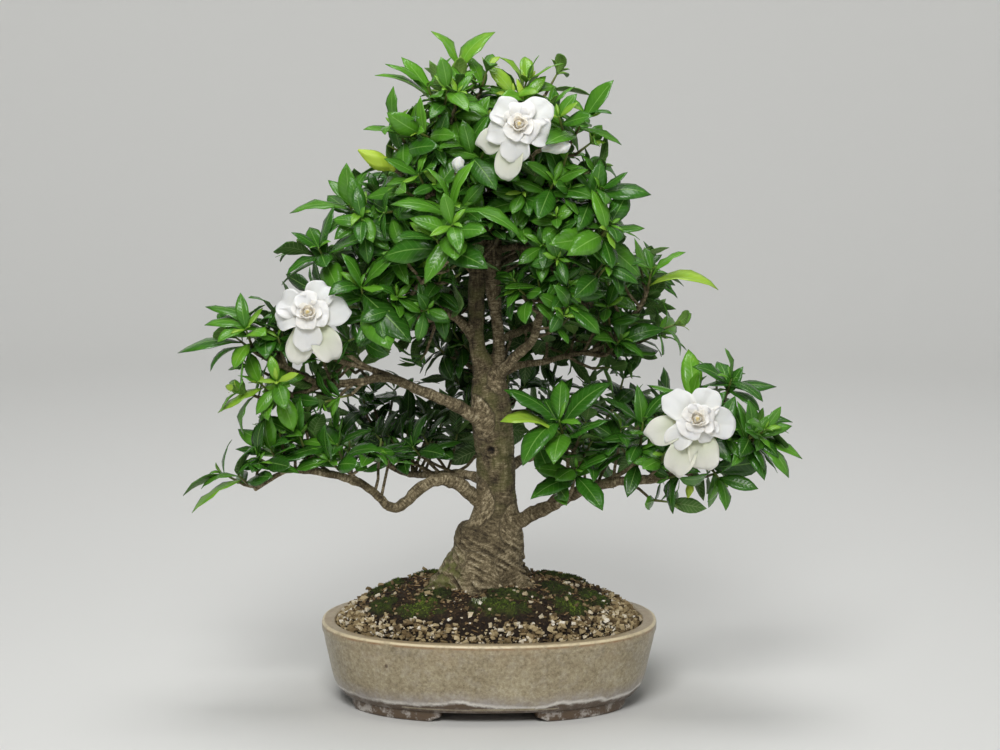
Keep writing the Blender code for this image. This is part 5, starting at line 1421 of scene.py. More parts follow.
@dataclass
class Ground:
    """The root ball's surface: humus that rises to the trunk, with grit, litter and moss."""

    pot: Pot
    hole_radius: float = 22.0
    hole_floor: float = 76.0
    collar_radius: float = 64.0
    collar_height: float = 104.0
    collar_slope: float = 0.11
    steps: tuple = ((0.0, 104.0), (0.3, 100.0), (0.58, 92.5), (0.8, 82.0), (0.93, 73.5), (1.0, 69.0))
    step_stretch: float = 60.0
    moss_floor: float = 0.068
    moss_height: float = 2.6
    drop_height: float = 130.0
    drop_floor: float = 0.066
    underside: tuple = ((17.36, 32.0), (22.6, 18.5), (25.5, 16.5))
    wall_inset: float = 13.45
    collar_rings: int = 15
    sides: int = 180
    surface: BVHTree | None = None
    patches: tuple = (
        MossPatch(-66, -70, 24, 17, 0.8), MossPatch(-98, -44, 16, 18, 0.45), MossPatch(-48, -44, 16, 16, 0.2),
        MossPatch(10, -76, 24, 15, 0.55), MossPatch(20, -50, 24, 16, 0.3), MossPatch(76, -58, 20, 18, 0.6),
        MossPatch(96, -24, 18, 20, 0.35), MossPatch(60, -20, 16, 18, 0.2), MossPatch(70, 44, 26, 24, 0.4),
        MossPatch(-50, 56, 28, 20, 0.5), MossPatch(6, 66, 26, 18, 0.4), MossPatch(-92, 18, 18, 24, 0.4),
    )

    def ring(self, share: float, height: float, lumps: float) -> list[Vector]:
        """Work out one ring of the surface.

        Args:
            share: Where it lies between the collar, at 0, and the pot's wall, at 1.
            height: Its mean height.
            lumps: The share of the lumps' usual height.

        Returns:
            The ring's points, in millimetres.
        """
        ring = []
        for angle in turns(self.sides):
            start = Vector((math.cos(angle), math.sin(angle), 0.0)) * self.collar_radius
            place = start.lerp(self.pot.spot(angle, self.wall_inset, 0.0), share)
            lump = noise.noise(place / 17.0) * 2.2 + noise.noise(place / 6.0) * 1.1 + noise.noise(place / 2.6) * 0.5
            ring.append(Vector((place.x, place.y, height + lump * lumps)))
        return ring

    def build(self, material: Material) -> None:
        """Make the root ball.

        Args:
            material: The humus.
        """
        rings = []
        collar_reach = self.collar_radius - self.hole_radius
        for step in range(self.collar_rings):
            radius = self.hole_radius + collar_reach * step / self.collar_rings
            height = self.collar_height + (self.collar_radius - radius) * self.collar_slope
            shrink = radius / self.collar_radius
            rings.append([Vector((place.x * shrink, place.y * shrink, place.z))
                          for place in self.ring(0.0, height, 0.8)])
        rings.insert(0, [Vector((place.x, place.y, self.hole_floor)) for place in rings[0]])
        steps = [(share * self.step_stretch, height, 0.0) for share, height in self.steps]
        for stretched, height, _ in smooth_route(steps, 1.6):
            share = stretched / self.step_stretch
            rings.append(self.ring(share, height, 1.0 - smoothstep(0.9, 1.0, share)))
        for inset, height in self.underside:
            rings.append([self.pot.spot(angle, inset, height) for angle in turns(self.sides)])
        bm = start_mesh("moss", "stony")
        moss_layer, grit_gap_shade_layer = bm.verts.layers.float["moss"], bm.verts.layers.float["stony"]
        for vert in ring_skin(bm, rings):
            x, y = vert.co.x / MM, vert.co.y / MM
            depth = self.mossiness(x, y)[0] * (vert.co.z > self.moss_floor)
            vert[moss_layer] = smoothstep(0.0, 0.22, depth)
            # Painted shade: marks the grit band along the wall, where the soil is painted darker.
            vert[grit_gap_shade_layer] = smoothstep(0.8, 0.9, self.wall_share(x, y))
            vert.co.z += smoothstep(0.0, 0.5, depth) * self.moss_height * MM
        self.surface = BVHTree.FromBMesh(bm)
        finish_piece(bm, "root_ball", (material,), "soil", ("soil",))

    def mossiness(self, x: float, y: float) -> tuple[float, float]:
        """Find the moss at a place.

        Args:
            x: To the right, in millimetres.
            y: To the back, in millimetres.

        Returns:
            How deep in a moss patch the place lies, above 0 inside it, and how bright its tufts are.
        """
        best = (0.0, 0.0)
        border = 1.2 * smoothstep(0.8, 0.9, self.wall_share(x, y))
        for patch in self.patches:
            away = math.hypot((x - patch.x) / patch.half_x, (y - patch.y) / patch.half_y) / 1.12
            ragged = 1.0 - away + 0.5 * rough(x, y, 9.0, 0.0)
            ragged += 0.4 * rough(x, y, 4.0, 5.0)
            best = max(best, (ragged - border, patch.bright))
        return best

    def drop(self, x: float, y: float) -> tuple[Vector, Vector] | None:
        """Find the surface under a place.

        Args:
            x: To the right, in millimetres.
            y: To the back, in millimetres.

        Returns:
            The place on the surface and its normal, both in metres, if it lies in the pot.
        """
        spot, normal, _, _ = self.surface.ray_cast(Vector((x, y, self.drop_height)) * MM, DOWN)
        if spot is None or spot.z < self.drop_floor:
            return None
        return spot, normal

    def wall_share(self, x: float, y: float) -> float:
        """Work out how near the pot's wall a place is.

        Args:
            x: To the right, in millimetres.
            y: To the back, in millimetres.

        Returns:
            0 at the middle of the pot and 1 at its wall.
        """
        power = self.pot.squareness
        reach_x = abs(x) / (self.pot.half_length - self.wall_inset)
        reach_y = abs(y) / (self.pot.half_width - self.wall_inset)
        return (reach_x ** power + reach_y ** power) ** (1.0 / power)


@dataclass
class GroundCover:
    """What lies and grows on the soil: grit, litter, moss and lichen."""

    ground: Ground
    half_x: float = 138.0
    half_y: float = 99.0
    grit: int = 4200
    litter: int = 2400
    tufts: int = 6000
    lichens: int = 46
    pebbles: tuple = ((-16.0, -82.0, 6.0), (2.0, -88.0, 5.0), (-112.0, -52.0, 7.0), (112.0, -36.0, 7.5))
    pebble_tone: float = 0.84
    lichen_spot: tuple = (-8.0, -68.0, 6.5)
    grains: int = 16
    crumbs: int = 6
    tuft_shapes: int = 5

    @staticmethod
    def scatter(name: str, material: Material, shapes: list[Mesh], places: Iterable[Laid],
                smooth: bool = True) -> None:
        """Lay copies of small shapes.

        Args:
            name: The piece's name.
            material: Its material.
            shapes: The shapes to copy.
            places: For each copy its placement, its tone and the shape's number.
            smooth: Whether the copies are shaded smooth.
        """
        bm = start_mesh("tone")
        layer = bm.verts.layers.float["tone"]
        for matrix, tone, number in places:
            start = len(bm.verts)
            shape = shapes[number]
            shape.transform(matrix)
            bm.from_mesh(shape)
            shape.transform(matrix.inverted())
            bm.verts.ensure_lookup_table()
            for index in range(start, len(bm.verts)):
                bm.verts[index][layer] = tone
        for shape in shapes:
            bpy.data.meshes.remove(shape)
        finish_piece(bm, name, (material,), "soil", smooth=smooth)

    @staticmethod
    def grain(seed: int) -> Mesh:
        """Make one angular chip of stone, 1 m across.

        Args:
            seed: The chip's number.

        Returns:
            Its mesh.
        """
        draw = random.Random(seed)
        bm = bmesh.new()
        bmesh.ops.create_cube(bm, size=0.8)
        bmesh.ops.delete(bm, geom=list(bm.edges), context="EDGES_FACES")
        for vert in bm.verts:
            vert.co = Vector([value * draw.uniform(0.35, 1.3) for value in vert.co])
        hull = bmesh.ops.convex_hull(bm, input=bm.verts)
        bmesh.ops.delete(bm, geom=hull["geom_interior"], context="VERTS")
        bmesh.ops.recalc_face_normals(bm, faces=bm.faces)
        return to_mesh(bm, "grain")

    @staticmethod
    def tuft(seed: int) -> Mesh:
        """Make one tuft of moss: a few thin leaves, 1 m high.

        Args:
            seed: The tuft's number.

        Returns:
            Its mesh.
        """
        draw = random.Random(seed)
        bm = bmesh.new()
        for _ in range(4):
            lean = any_turn(draw, "Z") @ Matrix.Rotation(draw.uniform(0.1, 1.1), 4, "X")
            tall = draw.uniform(0.7, 1.15)
            bmesh.ops.create_cone(bm, cap_ends=True, segments=3, radius1=0.15, radius2=0.0, depth=tall,
                                  matrix=lean @ Matrix.Translation((0.0, 0.0, tall / 2.0 - 0.15)))
        return to_mesh(bm, "tuft")

    @staticmethod
    def draw_places(seed: int, count: int, draw_place: Callable[[random.Random], Laid | None]) -> Iterable[Laid]:
        """Draw places until there are enough that will do.

        Args:
            seed: The start of the random numbers.
            count: The places that are needed.
            draw_place: Draws one place, or nothing where it will not do.

        Yields:
            Each place.
        """
        draw = random.Random(seed)
        laid = 0
        while laid < count:
            place = draw_place(draw)
            if place is not None:
                laid += 1
                yield place

    def random_spot(self, draw: random.Random) -> tuple[float, float, float]:
        """Draw a place in the pot.

        Args:
            draw: The source of random numbers.

        Returns:
            The place in millimetres and its share of the way to the wall.
        """
        x = draw.uniform(-self.half_x, self.half_x)
        y = draw.uniform(-self.half_y, self.half_y)
        return x, y, self.ground.wall_share(x, y)

    def grit_place(self, draw: random.Random) -> Laid | None:
        """Draw a grain's place: thick along the wall, thin on the mound.

        Args:
            draw: The source of random numbers.

        Returns:
            The place, or nothing where none lies.
        """
        x, y, share = self.random_spot(draw)
        ragged = share + 0.1 * rough(x, y, 14.0, 3.0)
        ragged += 0.05 * rough(x, y, 5.0, 8.0) + 0.09 * smoothstep(40.0, 100.0, x)
        ragged += 0.05 * smoothstep(60.0, 110.0, -x)
        wish = max(smoothstep(0.87, 0.94, ragged), 0.04) * (0.3 if self.ground.mossiness(x, y)[0] > 0.1 else 1.0)
        found = self.ground.drop(x, y) if share < 0.985 and draw.random() < wish else None
        if found is None:
            return None
        size = (2.2 + 4.6 * draw.random() ** 2.2) * MM
        if draw.random() < 0.03:
            size *= 1.4
        spot, normal = found
        turn = any_turn(draw, "Z") @ any_turn(draw, "X")
        flat = Matrix.Diagonal((size, size * draw.uniform(0.45, 0.95), size * draw.uniform(0.35, 0.75), 1.0))
        lift = Matrix.Translation(spot + normal * size * draw.uniform(0.12, 0.5))
        return lift @ turn @ flat, draw.random(), draw.randrange(self.grains)

    def pebble_places(self) -> Iterable[Laid]:
        """Place the few larger stones.

        Yields:
            Each place.
        """
        for x, y, size in self.pebbles:
            spot, normal = self.ground.drop(x, y)
            lift = Matrix.Translation(spot + normal * size * 0.25 * MM)
            yield lift @ Matrix.Scale(size * MM, 4), self.pebble_tone, int(size) + 6

    def litter_place(self, draw: random.Random) -> Laid | None:
        """Draw the place of a crumb of humus or a bit of twig on the mound.

        Args:
            draw: The source of random numbers.

        Returns:
            The place, or nothing where none lies.
        """
        x, y, share = self.random_spot(draw)
        if share > 0.93 or draw.random() < share * 0.6 or self.ground.mossiness(x, y)[0] > 0.35:
            return None
        found = self.ground.drop(x, y)
        if found is None:
            return None
        size = draw.uniform(1.2, 3.8) * MM
        is_twig = draw.random() < 0.45
        shape = (size * 2.6, size * 0.26, size * 0.26) if is_twig else (size, size * 0.8, size * 0.55)
        turn = any_turn(draw, "Z") @ Matrix.Rotation(draw.uniform(-0.5, 0.5), 4, "Y")
        lift = Matrix.Translation(found[0] + found[1] * size * 0.2)
        return lift @ turn @ Matrix.Diagonal((*shape, 1.0)), draw.random(), draw.randrange(self.crumbs)

    def tuft_place(self, draw: random.Random) -> Laid | None:
        """Draw the place of a moss tuft.

        Args:
            draw: The source of random numbers.

        Returns:
            The place, or nothing where none grows.
        """
        x, y, share = self.random_spot(draw)
        depth, bright = self.ground.mossiness(x, y)
        if share > 0.93 or (depth < 0.08 and draw.random() > 0.05):
            return None
        found = self.ground.drop(x, y)
        if found is None:
            return None
        size = draw.uniform(1.5, 3.0) * MM * (0.7 + 0.5 * min(depth, 1.0))
        tilt = UP.rotation_difference(found[1]).to_matrix().to_4x4()
        tone = bright + 0.5 * rough(x, y, 4.0, 11.0) + draw.gauss(0.0, 0.14) + 0.5 * (min(depth, 1.0) - 0.5)
        return (Matrix.Translation(found[0]) @ tilt @ any_turn(draw, "Z") @ Matrix.Scale(size, 4),
                min(max(tone, 0.0), 1.0), draw.randrange(self.tuft_shapes))

    def lichen_place(self, draw: random.Random) -> Laid:
        """Draw a place for the pale lichen before the trunk.

        Args:
            draw: The source of random numbers.

        Returns:
            The place.
        """
        x, y, radius = self.lichen_spot
        away = radius * math.sqrt(draw.random())
        turn = draw.uniform(*ANY_ANGLE)
        spot, _ = self.ground.drop(x + away * math.cos(turn), y + away * math.sin(turn))
        size = draw.uniform(2.0, 3.2) * MM
        return (Matrix.Translation(spot) @ Matrix.Rotation(turn, 4, "Z") @ Matrix.Scale(size, 4), draw.random(),
                draw.randrange(self.tuft_shapes))

    def build(self, grit: Material, litter: Material, moss: Material, lichen: Material) -> None:
        """Make the grit, the litter, the moss and the lichen.

        Args:
            grit: The grit's material.
            litter: The litter's material.
            moss: The moss's material.
            lichen: The lichen's material.
        """
        stones = [*self.draw_places(5, self.grit, self.grit_place), *self.pebble_places()]
        self.scatter("grit", grit, [self.grain(seed) for seed in range(self.grains)], stones, smooth=False)
        self.scatter("litter", litter, [self.grain(20 + seed) for seed in range(self.crumbs)],
                     self.draw_places(8, self.litter, self.litter_place), smooth=False)
        self.scatter("moss", moss, [self.tuft(seed) for seed in range(self.tuft_shapes)],
                     self.draw_places(13, self.tufts, self.tuft_place))
        self.scatter("lichen", lichen, [self.tuft(self.tuft_shapes + seed) for seed in range(self.tuft_shapes)],
                     self.draw_places(21, self.lichens, self.lichen_place))


@dataclass(frozen=True)
class Blade:
    """A leaf's or petal's midline, which bends down through its arch from its root to its tip."""

    root: Vector
    start_way: Vector
    upper_way: Vector
    length: float
    half_width: float
    arch: float
    fold: float = LEAF_FOLD

    def spot(self, share: float) -> tuple[Vector, Vector]:
        """Follow the midline.

        Args:
            share: The share of the length.

        Returns:
            The place there and its upper direction.
        """
        angle = self.arch * share
        forward = math.sin(angle) / self.arch
        fall = (1.0 - math.cos(angle)) / self.arch
        place = self.root + (self.start_way * forward - self.upper_way * fall) * self.length
        return place, self.upper_way * math.cos(angle) + self.start_way * math.sin(angle)

    @classmethod
    def between(cls, root: Vector, tip: Vector, upper: Vector, arch: float, half_width: float,
                fold: float = LEAF_FOLD) -> "Blade":
        """Make the blade between two places.

        Args:
            root: Where it starts.
            tip: Where it ends.
            upper: The direction that it arches toward.
            arch: The angle that it turns through.
            half_width: Half its width.
            fold: The angle of its sides above flat.

        Returns:
            The blade.
        """
        chord = tip - root
        along = chord.normalized()
        upper = (upper - along * upper.dot(along)).normalized()
        half = arch / 2.0
        start_way = along * math.cos(half) + upper * math.sin(half)
        upper_way = upper * math.cos(half) - along * math.sin(half)
        return cls(root, start_way, upper_way, chord.length * half / math.sin(half), half_width, arch, fold)

    def rebent(self, arch: float, width: float, fold: float) -> "Blade":
        """Return a blade with the same root and tip, and another arch, width and fold."""
        return Blade.between(self.root, self.spot(1.0)[0], self.spot(0.5)[1], arch, self.half_width * width, fold)

    def sheet(self) -> tuple[list[Vector], list[tuple[int, ...]]]:
        """Make a coarse sheet of the blade, to test for crossings.

        Returns:
            Its points and its faces.
        """
        side_way = self.start_way.cross(self.upper_way).normalized()
        points = [self.spot(0.12)[0]]
        for share, wide in ((0.34, 0.9), (0.68, 0.92)):
            place, normal = self.spot(share)
            out = side_way * self.half_width * wide * math.cos(self.fold)
            rise = normal * self.half_width * wide * math.sin(self.fold)
            points += [place - out + rise, place, place + out + rise]
        points.append(self.spot(1.0)[0])
        return points, [(0, 1, 2), (0, 2, 3), (1, 4, 5, 2), (2, 5, 6, 3), (4, 7, 5), (5, 7, 6)]


@dataclass(frozen=True)
class Leaf:
    """A leaf: its blade, its tone, and its own waves, twist and broadest place."""

    blade: Blade
    tone: float
    phase: float
    wave: float
    twist: float
    skew: float

    @classmethod
    def grown(cls, blade: Blade, tone: float, draw: random.Random) -> "Leaf":
        """Let a leaf differ from its blade as real leaves do, with its root and tip kept.

        Args:
            blade: The blade.
            tone: The leaf's tone.
            draw: The source of random numbers.

        Returns:
            The leaf.
        """
        bent = blade.rebent(math.radians(draw.uniform(12.0, 78.0)), draw.uniform(0.84, 1.18),
                            math.radians(draw.uniform(-4.0, 28.0)))
        return cls(bent, tone, draw.uniform(*ANY_ANGLE), draw.uniform(0.006, 0.03), draw.uniform(-0.6, 0.6),
                   draw.uniform(0.8, 1.15))

    def place(self, across: float, along: float) -> Vector:
        """Find a place on the leaf.

        Args:
            across: The share across it.
            along: The share along it.

        Returns:
            The place, in metres.
        """
        blade = self.blade
        spot, normal = blade.spot(along)
        side_way = blade.start_way.cross(blade.upper_way).normalized()
        ahead = normal.cross(side_way)
        side = 2.0 * across - 1.0
        swell = max((along - 0.07) / 0.93, 0.0) ** self.skew
        outline = 0.97 * (4.0 * swell * (1.0 - swell)) ** (0.84 + 0.3 * smoothstep(0.55, 1.0, swell))
        outline += 0.045 * (1.0 - along)
        half = blade.half_width * outline
        out = side * half * math.cos(blade.fold)
        rise = abs(side) * half * math.sin(blade.fold) - 0.2 * side * side * half
        ripple = math.sin(FULL_TURN * 2.3 * along + self.phase + (1.4 if side > 0.0 else 0.0))
        rise += self.wave * blade.length * side * side * ripple * math.sin(math.pi * along)
        turn = Matrix.Rotation(self.twist * along * (1.0 - along), 3, ahead)
        return (spot + turn @ (side_way * out + normal * rise)) * MM


@dataclass(frozen=True)
class LeafSpot:
    """Where a leaf stands on its shoot: its node, direction, usual lift and length, and any given tip."""

    node: Vector
    side_way: Vector
    lift: float
    length: float
    tip: Vector | None = None
    tone: float | None = None


def leaf_to_tip(node: Vector, axis: Vector, tip: Vector) -> Blade:
    """Make the blade of a leaf whose tip is given.

    Args:
        node: The leaf's node.
        axis: The stem's direction.
        tip: The place of its tip.

    Returns:
        The blade.
    """
    along = (tip - node).normalized()
    guide = axis + Vector((0.0, -0.25, 0.75))
    upper = guide - along * guide.dot(along)
    if upper.length < 0.2:
        guide = Vector((0.0, -1.0, 0.4))
        upper = guide - along * guide.dot(along)
    root = node + along * LEAF_STALK
    return Blade.between(root, tip, upper, LEAF_ARCH, (tip - root).length * LEAF_HALF_WIDTH)


def leaf_by_rule(node: Vector, axis: Vector, side_way: Vector, lift_degrees: float, turn_degrees: float,
                 length: float) -> Blade:
    """Make the blade of a leaf by the model's rule.

    Args:
        node: The leaf's node.
        axis: The stem's direction.
        side_way: The side of the stem where it stands.
        lift_degrees: The angle at which it leaves the stem.
        turn_degrees: Its turn round the stem from that side.
        length: Its length.

    Returns:
        The blade.
    """
    out = Matrix.Rotation(math.radians(turn_degrees), 3, axis) @ side_way
    lift = math.radians(lift_degrees)
    start_way = (out * math.cos(lift) + axis * math.sin(lift)).normalized()
    upper_way = (axis * math.cos(lift) - out * math.sin(lift)).normalized()
    return Blade(node + out * LEAF_STALK, start_way, upper_way, length, length * LEAF_HALF_WIDTH, LEAF_ARCH)


@dataclass
class Foliage:
    """Every leafy shoot: those of the model, refined, and further sprays that fill the crown."""

    wood: Wood
    blades: tuple[Material, Material]
    stem: Material
    thickness: float = 0.4
    cell: float = 58.0
    leaf_grid: tuple = (4, 7)
    small_leaf_grid: tuple = (2, 5)
    small_leaf: float = 21.0
    tip_slack: float = 0.15
    blade_reach: float = 0.62
    wood_room: float = 0.6
    limits: tuple = ((-268.0, 268.0), (-156.0, 162.0), (112.0, 594.0))
    bloom_room: tuple = (40.0, 18.0)
    bud_room: tuple = (17.0, 8.0)
    cells: dict[tuple, list[tuple[Vector, float, BVHTree]]] = field(default_factory=dict)
    twigs: list[Route] = field(default_factory=list)
    stems: list[Route] = field(default_factory=list)

    def __post_init__(self) -> None:
        """Note the middles of the blooms and buds, and how much room each needs round it and before it."""
        self.shown = [(bloom.centre, *self.bloom_room) for bloom in BLOOMS]
        self.shown += [(Vector(bud.base).lerp(Vector(bud.tip), 0.6), *self.bud_room) for bud in BUDS]

    @staticmethod
    def spots(shoot: Shoot, wild: bool = False) -> list[LeafSpot]:
        """Find the leaf places of a shoot by the model's own rule.

        Args:
            shoot: The shoot.
            wild: Whether they differ more, as on a further spray.

        Returns:
            The places.
        """
        draw = random.Random(shoot.name)
        foot, top = Vector(shoot.foot), Vector(shoot.top)
        axis = (top - foot).normalized()
        flat = RIGHT if abs(axis.x) < 0.8 else Vector((0.0, 1.0, 0.0))
        side = Matrix.Rotation(draw.uniform(0.0, math.pi), 3, axis) @ axis.cross(flat).normalized()
        spots = []
        for pair in range(shoot.pairs):
            share = 0.22 + 0.74 * pair / max(shoot.pairs - 1, 1)
            for half in (0, 1):
                way = Matrix.Rotation(math.pi * half + math.pi / 2.0 * pair, 3, axis) @ side
                lift = 8.0 + 40.0 * share + draw.uniform(-8.0, 8.0)
                length = shoot.leaf * (1.06 - 0.2 * share) * draw.uniform(0.9, 1.08)
                if wild:
                    lift += draw.uniform(-22.0, 22.0)
                    length *= draw.uniform(0.72, 1.12)
                    way = Matrix.Rotation(draw.uniform(-0.5, 0.5), 3, axis) @ way
                spots.append(LeafSpot(foot.lerp(top, share), way, lift, length))
        tones = TIP_TONES.get(shoot.name, {})
        for number, tip in enumerate(shoot.tips):
            target = Vector(tip)
            loose = [spot for spot in spots if spot.tip is None]
            best = max(loose, key=lambda spot: (target - spot.node).normalized().dot(spot.side_way)
                       - abs((target - spot.node).length - spot.length) / 40.0)
            spots[spots.index(best)] = replace(best, tip=target, tone=tones.get(number))
        return spots

    @staticmethod
    def choices(spot: LeafSpot, axis: Vector) -> Iterable[Blade]:
        """Go through the blades that may stand at a place.

        Args:
            spot: The place.
            axis: The stem's direction.

        Yields:
            Each blade, the best first.
        """
        if spot.tip is not None:
            for shift in (0, -6, 6, -12, 12, -18, 18):
                yield leaf_to_tip(spot.node, axis, spot.tip + Vector((0.0, shift, -0.14 * shift)))
            return
        for scale in (1.0, 0.85):
            for lift in (0, 14, -14, 28):
                for turn in (0, 14, -14, 28, -28, 42, -42):
                    yield leaf_by_rule(spot.node, axis, spot.side_way, spot.lift + lift, turn, spot.length * scale)

    def model_leaves(self, shoot: Shoot, draw: random.Random) -> list[Leaf]:
        """Find which blades the model has on a shoot, by looking for their tips among its points.

        Args:
            shoot: The shoot.
            draw: The source of random numbers.

        Returns:
            The leaves on those blades.
        """
        tree = index_places([corner.co for corner in frame["nodes"][shoot.name].data.vertices])
        axis = (Vector(shoot.top) - Vector(shoot.foot)).normalized()
        leaves = []
        for spot in self.spots(shoot):
            for blade in self.choices(spot, axis):
                if tree.find(blade.spot(1.0)[0] * MM)[2] < self.tip_slack * MM:
                    tone = spot.tone or shoot.age.value + draw.gauss(0.0, 0.08)
                    leaves.append(Leaf.grown(blade, tone, draw))
                    self.note(blade)
                    break
        return leaves

    def near(self, middle: Vector) -> Iterable[tuple[Vector, float, BVHTree]]:
        """Go through the noted blades in the cells round a place.

        Args:
            middle: The place.

        Yields:
            Each blade's middle, reach and sheet.
        """
        home = [math.floor(value / self.cell) for value in middle]
        for x in (-1, 0, 1):
            for y in (-1, 0, 1):
                for z in (-1, 0, 1):
                    yield from self.cells.get((home[0] + x, home[1] + y, home[2] + z), ())

    def note(self, blade: Blade) -> None:
        """Remember where a blade stands.

        Args:
            blade: The blade.
        """
        middle = blade.spot(0.5)[0]
        home = tuple(math.floor(value / self.cell) for value in middle)
        entry = (middle, blade.length * self.blade_reach, BVHTree.FromPolygons(*blade.sheet()))
        self.cells.setdefault(home, []).append(entry)

    def is_free(self, blade: Blade) -> bool:
        """Test a further blade.

        Args:
            blade: The blade.

        Returns:
            Whether it crosses no leaf or wood and hides nothing that should be seen.
        """
        points, faces = blade.sheet()
        for point in points:
            if not all(low < value < high for value, (low, high) in zip(point, self.limits)):
                return False
            if any(low_x < point.x < high_x and low_z < point.z < high_z and point.y < deep
                   for low_x, high_x, low_z, high_z, deep in BARE):
                return False
            if any(math.hypot(point.x - middle[0], point.z - middle[2]) < room and point.y < middle[1] + deep
                   for middle, room, deep in self.shown):
                return False
        if any(self.wood.depth(point) > -self.wood_room for point in points[2:]):
            return False
        middle = blade.spot(0.5)[0]
        tree = None
        for other_middle, reach, other in self.near(middle):
            if (other_middle - middle).length < reach + blade.length * self.blade_reach:
                tree = tree or BVHTree.FromPolygons(points, faces)
                if tree.overlap(other):
                    return False
        return True

    def tip_leaves(self, foot: Vector, top: Vector, size: float, tone: float, draw: random.Random) -> list[Leaf]:
        """Return the small new leaves round a shoot's growing point.

        Args:
            foot: The shoot's foot.
            top: The shoot's top.
            size: The length of its grown leaves.
            tone: Their tone.
            draw: The source of random numbers.

        Returns:
            The leaves.
        """
        axis = (top - foot).normalized()
        side = axis.orthogonal()
        start = draw.uniform(*ANY_ANGLE)
        leaves = []
        for number, (scale, lift) in enumerate(((0.5, 50.0), (0.44, 56.0), (0.3, 68.0), (0.26, 72.0))):
            turn = start + math.pi * number + math.pi / 2.0 * (number // 2)
            way = Matrix.Rotation(turn, 3, axis) @ side
            blade = leaf_by_rule(top + axis * (number // 2) * 1.5, axis, way, lift + draw.uniform(-12.0, 8.0), 0.0,
                                 size * scale * draw.uniform(0.8, 1.2))
            blade = replace(blade, half_width=blade.half_width * 0.8)
            if self.is_free(blade):
                self.note(blade)
                leaves.append(Leaf.grown(blade, tone + 0.2 + draw.uniform(0.0, 0.12), draw))
        return leaves

    def add_leaf(self, bm: BMesh, leaf: Leaf) -> None:
        """Add a leaf to a mesh.

        Args:
            bm: The mesh.
            leaf: The leaf.
        """
        tone_layer = bm.verts.layers.float["tone"]
        columns, rows = self.small_leaf_grid if leaf.blade.length < self.small_leaf else self.leaf_grid
        # Painted light: leaves high in the crown, where the top light falls, are painted up to 0.2 tone brighter.
        light = 0.2 * smoothstep(440.0, 590.0, leaf.blade.root.z)
        for vert in shaped_grid(bm, columns, rows, leaf.place):
            vert[tone_layer] = min(max(leaf.tone + light, 0.0), 1.0)

    def add_stem(self, foot: Vector, top: Vector) -> None:
        """Note the green stem between a shoot's foot and its top."""
        end = top + (top - foot) * 0.08
        self.stems.append([(*foot, 1.5), (*foot.lerp(top, 0.5), 1.15), (*top, 0.9), (*end, 0.5)])

    def add_spray(self, bm: BMesh, source: Shoot, knot: Vector, heading: Vector, reach: float,
                  draw: random.Random) -> bool:
        """Try to grow a further spray from a place on the wood.

        Args:
            bm: The mesh.
            source: The shoot whose leaf age, with SHADED as painted shade, and leaf size it has.
            knot: The place on the wood.
            heading: The direction that it leaves in.
            reach: The length of its twig.
            draw: The source of random numbers.

        Returns:
            Whether it had room.
        """
        foot = knot + heading * reach
        top = foot + (heading + Vector((0.0, -0.1, 0.5))).normalized() * draw.uniform(13.0, 25.0)
        axis = (top - foot).normalized()
        companion = replace(source, name=source.name + str(len(self.stems)), foot=tuple(foot), top=tuple(top),
                            pairs=draw.choice((2, 3, 3)), leaf=source.leaf * draw.uniform(0.86, 1.16), tips=())
        leaves = []
        shade = companion.age.value + draw.gauss(0.0, 0.06)
        for spot in self.spots(companion, wild=True):
            for blade in self.choices(spot, axis):
                if self.is_free(blade):
                    self.note(blade)
                    leaves.append(Leaf.grown(blade, shade + draw.gauss(0.0, 0.07), draw))
                    break
        if len(leaves) < 2:
            return False
        sway = Vector([draw.uniform(-1.0, 1.0) for _ in range(3)]) * reach * 0.08
        self.twigs.append(smooth_route([(*knot, 1.6), (*(knot.lerp(foot, 0.5) + sway), 1.45), (*foot, 1.4)], 7.0))
        self.add_stem(foot, top)
        leaves += self.tip_leaves(foot, top, companion.leaf, shade, draw)
        for leaf in leaves:
            self.add_leaf(bm, leaf)
        return True

    def build(self) -> None:
        """Make every leafy shoot, the further sprays and their green stems."""
        grown = {shoot.name: self.model_leaves(shoot, random.Random(shoot.name + "fine")) for shoot in SHOOTS}
        for shoot in SHOOTS:
            self.build_shoot(shoot, grown[shoot.name])
        for number, fill in enumerate(FILLS):
            self.build_fill(fill, number)
        bm = start_mesh()
        for route in self.stems:
            ring_skin(bm, tube_rings(route, 5))
        finish_piece(bm, "green_stems", (self.stem,), "leaf")

    def finish_leaves(self, bm: BMesh, name: str, age: Age, nodes: Iterable[str] = ()) -> None:
        """Make a piece of leaves and give them their thickness.

        Args:
            bm: The mesh.
            name: The piece's name.
            age: How old the leaves are; SHADED gives them a dark tone as painted shade.
            nodes: The model's nodes that it replaces.
        """
        piece = finish_piece(bm, name, self.blades, age.slot, nodes)
        shell = piece.modifiers.new("blade", "SOLIDIFY")
        shell.thickness = self.thickness * MM
        shell.offset = -1.0
        shell.material_offset = 1

